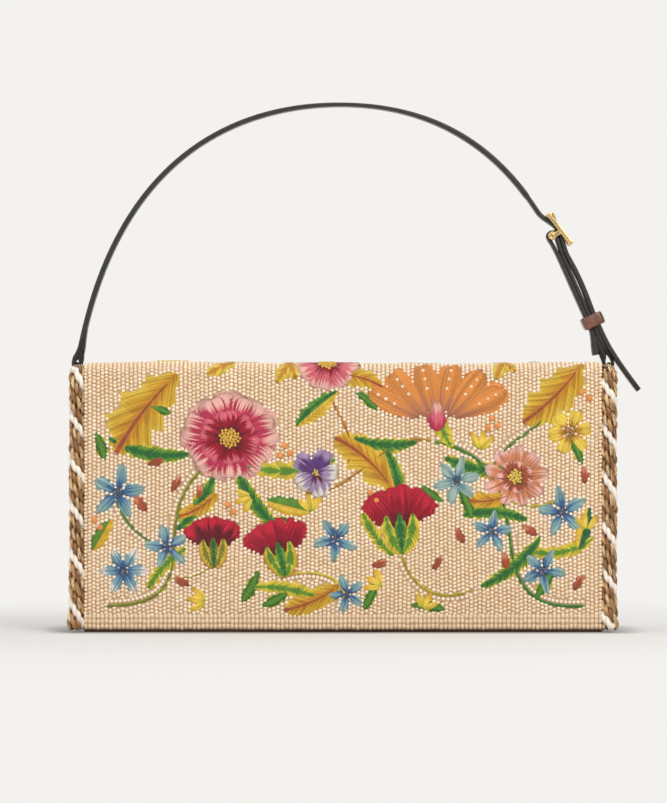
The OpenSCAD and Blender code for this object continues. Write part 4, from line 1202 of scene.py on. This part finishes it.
def wall_top(y):
    """Height of the wall's upper edge: the rim, then up to the yoke and down round the back fold."""
    step = np.clip((y - 8.4) / 0.5, 0, 1)
    fold = np.where(y > BACK_BEND_Y, np.sqrt(np.clip(16 - (y - BACK_BEND_Y) ** 2, 0, 16)) - 4.0, 0)
    return RIM_Z + 4.0 * step + fold * step


def side_wall(inset):
    x, y = u_path(21.0, inset)
    z = np.linspace(0, 1, 40)[:, None] * wall_top(y)
    soft = 0.25 * np.sin(x / 21 + z / 33) * np.clip((126 - np.abs(x)) / 20, 0, 1)
    return stack(pulled(x, y, z, 128), y + np.abs(soft), z)


outer, inner = side_wall(0.0), side_wall(WALL_T)
uv = stack(run_of(outer[0, :, :2]), outer[..., 2])
make_piece("body_wall", wall(outer, inner, uv), BODY_CLOTH,
           ("front_panel", "gusset_left", "gusset_right"), "body")


# %% [markdown]
# Leather piping covers the seams at the body's four upright edges; at the back it goes on round the fold.
# The rim of the wall is bound with cloth, and a row of stitches runs beside each seam.

# %% Piping, bound rim and seams
def cord(path, across, up, radius, sides=10):
    """A tube along a path with its map in millimetres: round it, and along it."""
    rings = tube(path, np.broadcast_to(across, path.shape), np.broadcast_to(up, path.shape), radius, sides)
    points, faces = rings.reshape(-1, 3), grid_faces(len(path), sides, closed=True)
    uv = stack(np.arange(sides) * 2 * np.pi * radius / sides, run_of(path)[:, None])
    return points, facing_out(points, faces), uv.reshape(-1, 2)


BACK_PIPE_X, BACK_PIPE_R = 132.9, 1.25
FRONT_PIPE_X, FRONT_PIPE_Y, FRONT_PIPE_R = 131.95, -23.95, 1.05
BINDING_R, FRONT_SEAM_Y, BACK_SEAM_Y = 2.05, -19.6, 19.4
parts = []
for side in (-1.0, 1.0):
    s = stations(LINE_END - 1.0, (BACK_FOLD_END, 40), (TOP_END, 12), (HINGE_S + 0.8, 4))
    path = on_flap(side * BACK_PIPE_X, s, -WALL_T)
    away = np.cross(unit(np.gradient(path, axis=0)), side * SIDEWAYS)
    parts.append(cord(path, side * SIDEWAYS, away, BACK_PIPE_R))
    path = stack(side * FRONT_PIPE_X, FRONT_PIPE_Y, np.linspace(0.8, RIM_Z - 1.5, 40))
    parts.append(cord(path, side * SIDEWAYS, [0, 1.0, 0], FRONT_PIPE_R))
make_piece("body_piping", join(parts), BASE_LEATHER, on="body")

x, y = u_path(8.0, 1.7)
path = stack(pulled(x, y, RIM_Z, 127), y, RIM_Z - 0.4)
upward = np.array([0, 0, 1.0])
across = unit(np.cross(unit(np.gradient(path, axis=0)), upward))
make_piece("rim_binding", cord(path, across, 0.85 * upward, BINDING_R, 12), FLAP_LINING, on="body")

parts = []
for side in (-1, 1):
    def on_gusset(y, z, height):
        return stack(side * (WALL_X - pull(y, z) + height), y, z)
    for seam_y in (FRONT_SEAM_Y, BACK_SEAM_Y):
        centres = stack(seam_y, np.arange(5, 127, SEAM_PITCH))
        parts.append(strew(on_gusset, centres, (0.28, 1.2, 0.28), out=side > 0))
make_piece("seam_stitches", join(parts), TAN_THREAD, on="body")


# %% [markdown]
# ## Lining and pocket
# The lining is a bag in the bag: rings of a rounded rectangle run down its walls, then shrink along the
# floor until they close. The slip pocket is a sheet that bulges forward and comes back to the wall on
# three sides; its hem is stitched.

# %% Lining
LINING_X, LINING_FRONT_Y, LINING_BACK_Y = 130.3, -22.3, 20.8
BODY_CORNER_R = 1.5


def rounded_ring(half_x, low_y, high_y, radius, turns, between=()):
    """A rounded rectangle in plan: turns are the angles of a corner's points, and between the shares of
    the way on to the next corner."""
    ring = []
    for n, (cx, cy) in enumerate(((1, 1), (-1, 1), (-1, -1), (1, -1))):
        centre = np.array([cx * (half_x - radius), high_y - radius if cy > 0 else low_y + radius])
        a = np.append(turns, QUARTER) + n * QUARTER
        corner = centre + radius * stack(np.cos(a), np.sin(a))
        way = ([-2 * cx * (half_x - radius), 0], [0, -cy * (high_y - low_y - 2 * radius)])[n % 2]
        ring += [corner[:-1], corner[-1] + np.array(between)[:, None] * way]
    return np.concatenate(ring)


def lining_ring(z, inset, shrink=0):
    """A ring of the lining at one height; on its walls the gussets pull it in, and shrink moves it inwards
    on the floor."""
    by, radius = inset + shrink, 0.3 if shrink else max(BODY_CORNER_R - inset, 0.3)
    flat = rounded_ring(LINING_X - by, LINING_FRONT_Y + by, LINING_BACK_Y - by, radius,
                        np.linspace(0, QUARTER, 5)[:-1], np.linspace(0, 1, 24)[:-1])
    x, y = flat.T
    return stack(x if shrink else pulled(x, y, z, 127), y, z)


def lining_skin(inset):
    rings = [lining_ring(z, inset) for z in np.linspace(RIM_Z - 1.0, FLOOR_Z + 1.5, 30)]
    rings += [lining_ring(FLOOR_Z + 0.1 + inset, inset, shrink) for shrink in (0.5, 3, 8, 14, 18, 20.2)]
    return np.stack(rings)


outer, inner = lining_skin(0.0), lining_skin(LINING_T)
uv = stack(run_of(outer[0]), run_of(outer[:, 0])[:, None])
make_piece("inside_lining", wall(outer, inner, uv, closed=True), LINING, ("lining",), "body")


# %% Slip pocket, stitches of rim and pocket
def pocket_face(inset, half=60, foot=34.6, mouth=104.4):
    """The pocket's sheet: its distance from the wall rises over 4 mm from the closed edges, and its
    mouth hangs a little open."""
    x, z = np.linspace(-half, half, 61), np.linspace(foot, mouth, 36)[:, None]
    share = np.clip(np.minimum(half - np.abs(x), z - foot) / 4.0, 0, 1)
    room = (1.3 + 0.9 * (z - foot) / 70 * np.cos(x / half * QUARTER)) * share * (2 - share)
    return stack(x, 19.2 - room + inset, z)


outer, inner = pocket_face(0.0), pocket_face(LINING_T)
make_piece("slip_pocket", wall(outer, inner, outer[..., [0, 2]]), LINING, ("inner_pocket",),
           "body")
rim = strew(lambda x, z, height: stack(x, 0.1 - BODY_Y - height, z),
            stack(np.arange(-126, 127, SEAM_PITCH), RIM_Z - 3.0), (1.2, 0.28, 0.3))
hem = strew(lambda x, z, height: stack(x, 17.0 - height, z),
            stack(np.arange(-56, 57, 3.0), 101.5), (1.1, 0.26, 0.9))
make_piece("body_stitches", join([rim, hem]), TAN_THREAD, on="body")

# %% [markdown]
# ## The base
# A stiff board in the bag rests on a leather base. Only the underside shows, with a pressed line and a
# row of stitches round it. The profile below runs from the middle of the underside out, over the rounded
# edge and back on the top: how far in, and how high.

# %% Base panel
BASE_X, BASE_FRONT_Y, BASE_BACK_Y, BASE_PITCH = 130.4, -22.4, 20.9, 3.4
rings = []
for inset, z in ((21, 0.3), (12, 0.25), (5.4, 0.25), (4.9, 0.55), (4.4, 0.25), (1.2, 0.15), (0.35, 0.5),
                 (0.1, 1.2), (0.1, 2.3), (0.5, 2.9), (6, 2.95), (21, 2.95)):
    flat = rounded_ring(BASE_X - inset, BASE_FRONT_Y + inset, BASE_BACK_Y - inset,
                        max(BODY_CORNER_R - inset, 0.25), np.linspace(0, QUARTER, 8))
    rings.append(stack(*flat.T, z))
rows, columns = len(rings), len(rings[0])
bottom = np.arange(columns)[None]
faces = [grid_faces(rows, columns, closed=True)[:, ::-1], bottom, bottom[:, ::-1] + (rows - 1) * columns]
make_piece("base", (np.concatenate(rings), faces), BASE_LEATHER, ("base_panel",), "body",
           crease=50)
base_x, base_y = np.arange(-124, 125, BASE_PITCH), np.arange(-16, 15, BASE_PITCH)
inset = 2.8
centres = np.concatenate([stack(base_x, BASE_FRONT_Y + inset), stack(base_x, BASE_BACK_Y - inset),
                          stack(inset - BASE_X, base_y), stack(BASE_X - inset, base_y)])
turned = np.repeat([QUARTER, 0], [2 * len(base_x), 2 * len(base_y)])
laid = strew(lambda x, y, height: stack(x, y, 0.2 - height), centres, (0.28, 1.25, 0.18), turn=turned,
             out=False)
make_piece("base_stitches", laid, DARK_THREAD, on="body")


# %% [markdown]
# ## The strap
# Leather straps are strips: a rectangle with rounded edges carried along a path in the plane of the strap.
# `Strip` carries it: at each station the path gives the middle, a second table the thickness and the
# width. Its faces are crowned, as on a skived strap with painted edges. A hole is a group of quads left
# out of both faces, and `wall` closes its sides. Points of a path are given ahead of an origin and out
# from it: the buckle's bar with the short strap's direction, or the left ring's top with the strap's foot.

# %% Strip surface
def placed(origin, lean, down=1):
    """A function that gives points in x and z by lengths ahead and out; down is 1 where ahead points
    down, and -1 where it points up."""
    ahead = np.array([math.sin(lean), -down * math.cos(lean)])
    out = np.array([down * math.cos(lean), math.sin(lean)])
    return lambda s, n: origin + np.multiply.outer(s, ahead) + np.multiply.outer(n, out)


class Strip:
    """A leather strip along a path in x and z, with its width along Y about RING_Y."""

    def __init__(self, path, thickness, width, step=1.0):
        walked = run_of(path)
        self.run = np.linspace(0, walked[-1], int(walked[-1] / step) + 1)
        columns = [np.interp(self.run, walked, column) for column in (*path.T, thickness, width)]
        self.path, self.thick, self.width = stack(*columns[:2]), columns[2], columns[3]
        for _ in range(2):
            self.path[1:-1] = (self.path[:-2] + 2 * self.path[1:-1] + self.path[2:]) / 4
        ahead = unit(np.gradient(self.path, axis=0))
        self.normal = stack(-ahead[:, 1], ahead[:, 0])

    def at(self, run, across, height):
        """The point at length run, across from -1 to 1, and height from the middle in mm."""
        px, pz, nx, nz = [np.interp(run, self.run, column) for column in (*self.path.T, *self.normal.T)]
        half = np.interp(run, self.run, self.width) / 2
        return stack(px + nx * height, RING_Y + across * half, pz + nz * height)

    def skin(self, slot=(0, 0)):
        """Both faces as one wall. Across, the half thickness falls along a quarter circle at each edge;
        slot is where an opening of 3 mm width begins and ends."""
        run = np.unique(np.concatenate([self.run, slot]))
        half, thick = [np.interp(run, self.run, size)[:, None] / 2 for size in (self.width, self.thick)]
        edge, slot_edge = np.array([0.0, 0.08, 0.25, 0.6, 1.3]), np.full_like(half, 1.5)
        place = np.concatenate([edge - half, -0.72 * half, -slot_edge, 0 * half, slot_edge, 0.72 * half,
                                half - edge[::-1]], axis=1)
        near = np.clip((half - np.abs(place)) / 0.6, 0, 1)
        crown = thick - np.minimum(thick, 0.4) * (1 - np.sqrt(1 - (1 - near) ** 2)) * 0.85
        keep = np.ones((len(run) - 1, place.shape[1] - 1), bool)
        middle = (run[1:] + run[:-1]) / 2
        keep[np.ix_((middle > slot[0]) & (middle < slot[1]), [6, 7])] = False
        top, low = [self.at(run[:, None], place / half, side * crown) for side in (1, -1)]
        return wall(top, low, keep=keep)

    def near(self, point, after=0.0):
        """The length where the path passes closest to a point."""
        gap = np.linalg.norm(self.path - point, axis=1) + 1e3 * (self.run < after)
        return self.run[np.argmin(gap)]


def narrowed(path, ring):
    """The width of a strap near a ring: 6 mm within 3 mm of its wire, the full 11 mm from 12 mm on."""
    return 6 + 5 * np.clip((np.linalg.norm(path - ring, axis=1) - 3.0) / 9.0, 0, 1)


# %% [markdown]
# The long strap starts as a skived end behind the left ring, goes round its wire, rises in a high arch,
# dives under the buckle's front bar, passes over the middle bar and runs down over the short strap to its
# free tail.

# %% Path of the long strap
FOOT, FOOT_LEAN = np.array([-RING_X, RING_Z + RING_R]), math.radians(12.4)
by_bar, by_foot = placed(BAR, LEAN), placed(FOOT, FOOT_LEAN, -1)
foot_dir = np.array([math.sin(FOOT_LEAN), math.cos(FOOT_LEAN)])
arch_start, peak = by_foot(14, 0), np.array([-1.5, BAG_TOP + STRAP_RISE])
over_bar = 1.1 + 0.15 + SHORT_T / 2 + 0.3 + STRAP_T / 2
over_short = SHORT_T / 2 + 0.3 + STRAP_T / 2
wire_hole = WIRE_R + 0.2 + RING_R - math.sqrt(RING_R ** 2 - 9)
over_ring = wire_hole + 1.0 + 0.6 + STRAP_T / 2
loop_r, grip_r = wire_hole + 0.5, wire_hole + 0.27
enter_s, settle_s = -SHORT_T * 4.2, SHORT_T * 3.3
leave_s, tail_s = SHORT_LEN - 4.6 * SHORT_T, SHORT_LEN + 5.2 * SHORT_T
enter, enter_lean = by_bar(enter_s, -0.4 * over_bar), 1.375 * LEAN
enter_dir = np.array([-math.sin(enter_lean), math.cos(enter_lean)])
climb = 0.81 * (peak[1] - arch_start[1]) / foot_dir[1]
arch = np.concatenate([
    bezier([arch_start, arch_start + climb * foot_dir, peak - [0.36 * RING_X, 0], peak], 60),
    bezier([peak, peak + [0.4 * RING_X, 0], enter + 0.24 * STRAP_RISE * enter_dir, enter], 60)[1:]])
bulge = np.array([20, 28, 36, 45])
through = np.concatenate([
    bezier(by_bar([enter_s, enter_s * 0.57, enter_s * 0.43, 0],
                  np.array([-0.4, -0.21, 1, 1]) * over_bar), 24),
    bezier(by_bar([0, settle_s / 3, settle_s * 0.6, settle_s],
                  [over_bar, over_bar, over_short, over_short]), 14)[1:],
    by_bar(bulge, over_short + 0.75 * np.sin(np.pi * (bulge - settle_s) / (45 - settle_s))),
    bezier(by_bar([leave_s, leave_s + 2.5 * SHORT_T, SHORT_LEN + SHORT_T / 2, tail_s],
                  [over_short, over_short, over_ring, over_ring + 4.0]), 16)])
half_turn = np.linspace(0, np.pi, 15)
long_path = np.concatenate([
    by_foot([19, 13, 8.5, 5, 3], [-1.3, -1.5, -1.5, -1.15, -1.45]),
    by_foot(-grip_r * np.sin(half_turn), -grip_r * np.cos(half_turn)),
    by_foot([3, 5, 8.5], [1.45, 0.85, 0.1]), arch, through[1:]])

# %% Long strap
foot_thick = [0.2, 0.8, 1.9, 2.7, 3.0] + [1.5] * len(half_turn) + [3.0, 2.6, 2.5]
arch_thick = np.interp(arch[:-6, 0], [-125, -90, -45, -25, 0, 25, 45, 65, 100],
                       [2.6, 2.5, 2.4, 2.2, 1.9, 2.05, 2.4, 2.7, 2.75])
thickness = np.full(len(long_path), STRAP_T)
thickness[:len(foot_thick) + len(arch_thick)] = np.append(foot_thick, arch_thick)
thickness[-20:] = 2.5
width = np.full(len(long_path), STRAP_W)
foot_count = len(foot_thick) + 10
width[:foot_count] = narrowed(long_path[:foot_count], FOOT)
width[-1] = 9.0
long_strap = Strip(long_path, thickness, width)
slot = (long_strap.near(by_bar(-1.8 * over_bar, 0.55 * over_bar), 60),
        long_strap.near(by_bar(0.4 * over_bar, over_bar), 60))
make_piece("long_strap", long_strap.skin(slot), STRAP_LEATHER, ("strap_long",), "strap",
           crease=38)
print("long strap:", round(float(long_strap.run[-1]), 1), "mm along")

# %% [markdown]
# The short strap is folded double: from a square cut end beside the ring it runs up in 8 points, turns
# round the buckle's bar in 13, comes down again in 7, turns round the ring in 13 and tucks in between in 5.

# %% Short strap
half_turn = np.linspace(0, np.pi, 13)
short_path = np.concatenate([
    by_bar([SHORT_LEN - 7, SHORT_LEN - 11, SHORT_LEN - 15, SHORT_LEN - 19, 46, 26, 11, 5],
           [-4.3, -3.3, -2.1, -1.2, -1.12, -1.12, -1.1, -1.5]),
    by_bar(-2.15 * np.sin(half_turn), -2.15 * np.cos(half_turn)),
    by_bar([5, 11, 30, 50, SHORT_LEN - 12, SHORT_LEN - 6, SHORT_LEN - 2.5],
           [1.5, 0.95, 0.92, 0.92, 1.15, 1.75, 2.35]),
    by_bar(SHORT_LEN + grip_r * np.sin(half_turn), grip_r * np.cos(half_turn)),
    by_bar(SHORT_LEN - np.array([2.6, 4.8, 9, 14, 19]), [-1.9, -1.0, -0.8, -0.45, -0.05])])
thickness = np.full(len(short_path), 1.84)
thickness[:7] = (3.3, 3.1, 2.5, 2.1, 2.15, 2.15, 2.1)
thickness[25:27] = (1.84, 1.9)
thickness[27:41] = 1.5
thickness[-5:] = (1.9, 3.4, 3.1, 1.6, 0.2)
width = np.full(len(short_path), STRAP_W)
width[24:] = narrowed(short_path[24:], by_bar(SHORT_LEN, 0))
short_strap = Strip(short_path, thickness, width, 0.8)
bar_from = short_strap.near(by_bar(2.6, -2.0))
bar_to = short_strap.near(by_bar(3.4, 1.9), bar_from + 3)
make_piece("short_strap", short_strap.skin((bar_from, bar_to)), STRAP_LEATHER,
           ("strap_short",), "strap", crease=38)


# %% Stitches of the straps
def stitch_rows(strip, low, high, faces_up=(1,)):
    """Two rows of sunk stitches along a strip, on its outer face, its inner face or both."""
    run = np.arange(low, high, 3.3)
    half, parts = np.interp(run, strip.run, strip.width) / 2, []
    for side in (-1, 1):
        for face in faces_up:
            def surface(across, along, height):
                half_thick = np.interp(along, strip.run, strip.thick) / 2
                return strip.at(along, across, face * (half_thick + height))
            centres = stack(side * (half - 1.5) / half, run)
            parts.append(strew(surface, centres, (0.26 / 5.5, 1.25, 0.24), -0.22, out=face < 0))
    return join(parts)


ring_near = short_strap.near(by_bar(SHORT_LEN - 12, 1.1), bar_to)
parts = [stitch_rows(long_strap, 30, long_strap.run[-1] - 8, (1, -1)),
         stitch_rows(short_strap, bar_to + 4, ring_near), stitch_rows(short_strap, 8, bar_from - 4)]
make_piece("strap_stitches", join(parts), DARK_THREAD, on="strap")


# %% [markdown]
# ## Ring tabs
# A tab is a strip folded round the ring's lower wire. Both layers lie on the gusset, one on the other,
# end in a half circle and are held by a gold rivet, which is the CAD model's own.

# %% Ring tabs
TAB_W, TAB_NECK_W, TAB_T, TAB_INNER_X, TAB_OUTER_X = 14, 6, 1.5, 133.85, 135.35


def ring_tab(side):
    low_z = RING_Z - RING_R
    foot_z, top_z = low_z - 32.0, low_z - 10.0
    turn = np.linspace(-0.15, np.pi + 0.15, 15)
    path = np.concatenate([
        [[TAB_INNER_X, foot_z], [TAB_INNER_X, foot_z + 12], [TAB_INNER_X, top_z], [134.6, top_z + 4]],
        stack(RING_X - loop_r * np.cos(turn), low_z + loop_r * np.sin(turn)),
        [[137.6, top_z + 4], [135.4, top_z], [TAB_OUTER_X, foot_z + 12], [TAB_OUTER_X, foot_z]]])
    thickness = np.full(len(path), TAB_T)
    thickness[3:-3] = 1.0
    run = run_of(path)
    fine = np.linspace(0, run[-1], 160)
    x, z, thickness = [np.interp(fine, run, column) for column in (*path.T, thickness)]
    from_end = np.minimum(fine, fine[-1] - fine)
    rounding = np.sqrt(np.clip(1 - (1 - np.clip(from_end / (TAB_W / 2), 0, 1)) ** 2, 0.004, 1))
    narrowing = (TAB_W - TAB_NECK_W) * np.clip((from_end - 20) / 9, 0, 1)
    width = np.where(from_end < 20, TAB_W * rounding, TAB_W - narrowing)
    return Strip(stack(side * x, z), thickness, width, 0.6)


for side, name in ((-1, "left"), (1, "right")):
    make_piece("tab_" + name, ring_tab(side).skin(), STRAP_LEATHER, ("ring_tab_" + name,),
               "body", crease=38)

# %% [markdown]
# ## The keeper
# A loop of brown leather round both straps. Each row is a rounded rectangle in the plane across the strap,
# and the profile gives its place along the strap and its growth: inner face, edge, outer face, edge.

# %% Keeper
KEEPER_S, KEEPER_CORNER_R = 49, 0.6
low, high = -SHORT_T / 2 - 0.6, over_short + STRAP_T / 2 + 1.1
a = np.linspace(0, 2 * np.pi, 72, endpoint=False)
ray = stack(np.cos(a), np.sin(a))
rows = []
for along, grow in ((-3.2, 0.35), (-3.1, 0.12), (-2.8, 0.02), (0, 0.0), (2.8, 0.02), (3.1, 0.12),
                    (3.2, 0.35), (3.25, 1.0), (3.15, 1.4), (2.6, 1.7), (1.4, 1.9), (0, 1.95),
                    (-1.4, 1.9), (-2.6, 1.7), (-3.15, 1.4), (-3.25, 1.0)):
    size, radius = np.array([(high - low) / 2, STRAP_W / 2 + 0.4]) + grow, KEEPER_CORNER_R + grow
    aim = ray * size / np.abs(ray).max(1, keepdims=True)
    core = np.clip(aim, radius - size, size - radius)
    away = aim - core
    away = away / np.maximum(np.linalg.norm(away, axis=1, keepdims=True), 1e-6)
    out, across = (core + away * radius).T
    x, z = by_bar(KEEPER_S + along, (low + high) / 2 + out).T
    rows.append(stack(x, RING_Y + across, z))
points = np.concatenate(rows)
faces = grid_faces(len(rows) + 1, len(a), closed=True) % len(points)
make_piece("keeper", (points, facing_out(points, faces)), KEEPER_LEATHER, ("keeper_loop",),
           "keeper", crease=60)

# %% [markdown]
# ## Metal parts and the board
# Rings, rivets and magnets are hard, and their CAD solids already have the right shape, so they only get
# their finishes. The buckle frame is cast and polished on the real bag, so its edges are soft: a copy of
# its solid, with its doubles merged and its flat faces joined, gets a narrow bevel, which catches the
# light.

# %% Rounded copy of the buckle
BUCKLE_EDGE_R = 0.5
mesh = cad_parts["buckle_frame"].data.copy()
work = bmesh.new()
work.from_mesh(mesh)
bmesh.ops.remove_doubles(work, verts=work.verts, dist=2e-6)
bmesh.ops.dissolve_limit(work, angle_limit=math.radians(1), verts=work.verts, edges=work.edges)
work.to_mesh(mesh)
work.free()
mesh.name = "buckle"
mesh.polygons.foreach_set("use_smooth", np.ones(len(mesh.polygons), bool))
mesh.materials.clear()
mesh.materials.append(GOLD)
buckle = add_object("buckle", mesh)
bevel = buckle.modifiers.new("rounded edges", "BEVEL")
bevel.width, bevel.segments, bevel.harden_normals = BUCKLE_EDGE_R * MM, 3, True
bevel.limit_method, bevel.angle_limit = "ANGLE", math.radians(48)
stands_for(buckle, ("buckle_frame",), "strap")

# %% Finishes of the CAD parts
for names, material in (
        (("ring_left", "ring_right", "buckle_bar", "buckle_prong", "tab_rivets", "body_magnets",
          "flap_magnets"), GOLD), (("magnet_washers",), STEEL), (("base_board",), BOARD)):
    for name in names:
        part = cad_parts[name]
        part.data.materials.clear()
        part.data.materials.append(material)

# %% [markdown]
# ## Floor and light
# The bag stands on a pale floor in a bright studio. The lamps light it at a plain level; the even pale
# ground behind comes from the floor's far part, which the camera sees as a plain colour, while near the
# bag the floor keeps its shadow and also has a painted contact shadow round the footprint. From below
# the floor is clear, so the bag's underside can be looked at.

# %% Floor
PALE = (0.905, 0.888, 0.855)
FLOOR_REACH, FLOOR_CELLS = 9000, 24


def studio_floor():
    """The floor's colour carries a painted contact shadow: it is darker within 20 mm of the bag's
    footprint.
    """
    f = Finish("studio_floor", 0.9, Specular_IOR_Level=0.0)
    place = f.place()
    colour = f.mix(f.noise(place, 3.0)[0] * 0.02, (0.80, 0.79, 0.77), (0.78, 0.77, 0.75))
    parts = f.node("SeparateXYZ", {0: place})
    # Painted contact shadow: the floor colour falls to 35 % at the footprint's edge and comes back within
    # 20 mm.
    gap_x, gap_y = [(abs(parts[n]) - half).maths("MAXIMUM", 0.0) for n, half in enumerate((0.136, 0.027))]
    gap = (gap_x * gap_x + gap_y * gap_y).maths("SQRT")
    f.give(Base_Color=f.shaded(colour, gap.ramp(0.0, 0.02, 0.35, 1.0)))
    ahead = f.node("VectorMath", {0: place, 1: (0.0, 0.35, 0.0)}, operation="ADD")[0]
    far = f.node("VectorMath", {0: ahead}, operation="LENGTH")["Value"]
    seen = f.node("LightPath")
    shown = seen["Is Camera Ray"].maths("MAXIMUM", seen["Is Glossy Ray"])
    shown = shown.maths("MAXIMUM", seen["Is Transmission Ray"])
    share = far.ramp(0.3, 0.72).maths("MAXIMUM", parts[1].ramp(-0.12, -0.55)) * shown
    even = f.node("Emission", {"Color": PALE, "Strength": 1.0})[0]
    mixed = f.node("MixShader", {0: share, 1: Wire(f.shader.outputs[0]), 2: even})[0]
    beneath = f.node("NewGeometry")["Backfacing"] * seen["Is Camera Ray"]
    open_below = f.node("MixShader", {0: beneath, 1: mixed, 2: f.node("BsdfTransparent")[0]})[0]
    f.fill(f.tree.nodes["Material Output"].inputs["Surface"], open_below)
    return f.material


span = np.linspace(-FLOOR_REACH, FLOOR_REACH, FLOOR_CELLS + 1)
plane = stack(span, span[:, None], -0.05).reshape(-1, 3)
make_piece("floor", (plane, grid_faces(len(span), len(span))), studio_floor())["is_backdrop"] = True


# %% Lamps and sky
def lamp(name, place, size, power, colour=(1, 1, 1)):
    """An area lamp that looks at the middle of the bag."""
    light = bpy.data.lights.new(name, "AREA")
    light.shape, light.size, light.size_y = "RECTANGLE", size[0], size[1]
    light.energy, light.color = power, colour
    thing = add_object(name, light)
    thing.location = place
    toward = np.array((0, 0, 0.1)) - place
    yaw = math.atan2(toward[0], -toward[1])
    thing.rotation_euler = (math.atan2(math.hypot(*toward[:2]), -toward[2]), 0, yaw + math.pi)


lamp("key", (0.95, -1.7, 1.5), (1.1, 0.9), 29, (1, 0.985, 0.965))
lamp("fill", (-1.5, -1.6, 0.7), (1.2, 1.2), 11)
lamp("top", (0.1, 0.2, 1.8), (1.4, 1.0), 3.5)
world = bpy.data.worlds.new("studio")
bpy.context.scene.world = world
world.use_nodes = True
sky = Shade(world.node_tree)
seen = sky.node("LightPath")
aim = sky.node("SeparateXYZ", {0: sky.node("TexCoord")["Generated"]})
up, side = aim[2], abs(aim[0])
plain = up.ramp(-0.15, 0.75, 0.3, 0.66)
bands = (up * 9.0).maths("SINE") * 0.45 + 0.75
flag = side.maths("MAXIMUM", abs(up)).ramp(0.1, 0.38, 0.5, 1.3)
mirrored = up.ramp(-0.25, 0.45, 0.25, 1.35) * side.ramp(0.35, 0.7, 1.0, 0.4) * bands * flag
soft = sky.tree.nodes["Background"]
sky.fill(soft.inputs["Color"], (0.97, 0.97, 0.98))
sky.fill(soft.inputs["Strength"], seen["Is Glossy Ray"] * (mirrored - plain) + plain)
even = sky.node("Background", {"Color": PALE, "Strength": 1.0})[0]
shown = seen["Is Camera Ray"].maths("MAXIMUM", seen["Is Transmission Ray"])
both = sky.node("MixShader", {0: shown, 1: Wire(soft.outputs[0]), 2: even})[0]
sky.fill(sky.tree.nodes["World Output"].inputs["Surface"], both)
bpy.context.scene.view_settings.view_transform = "Standard"

# %% Sizes and the end
low, high = [list(corner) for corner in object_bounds()]
print("visual box in mm:", [round((b - a) / MM, 1) for a, b in zip(low, high)])
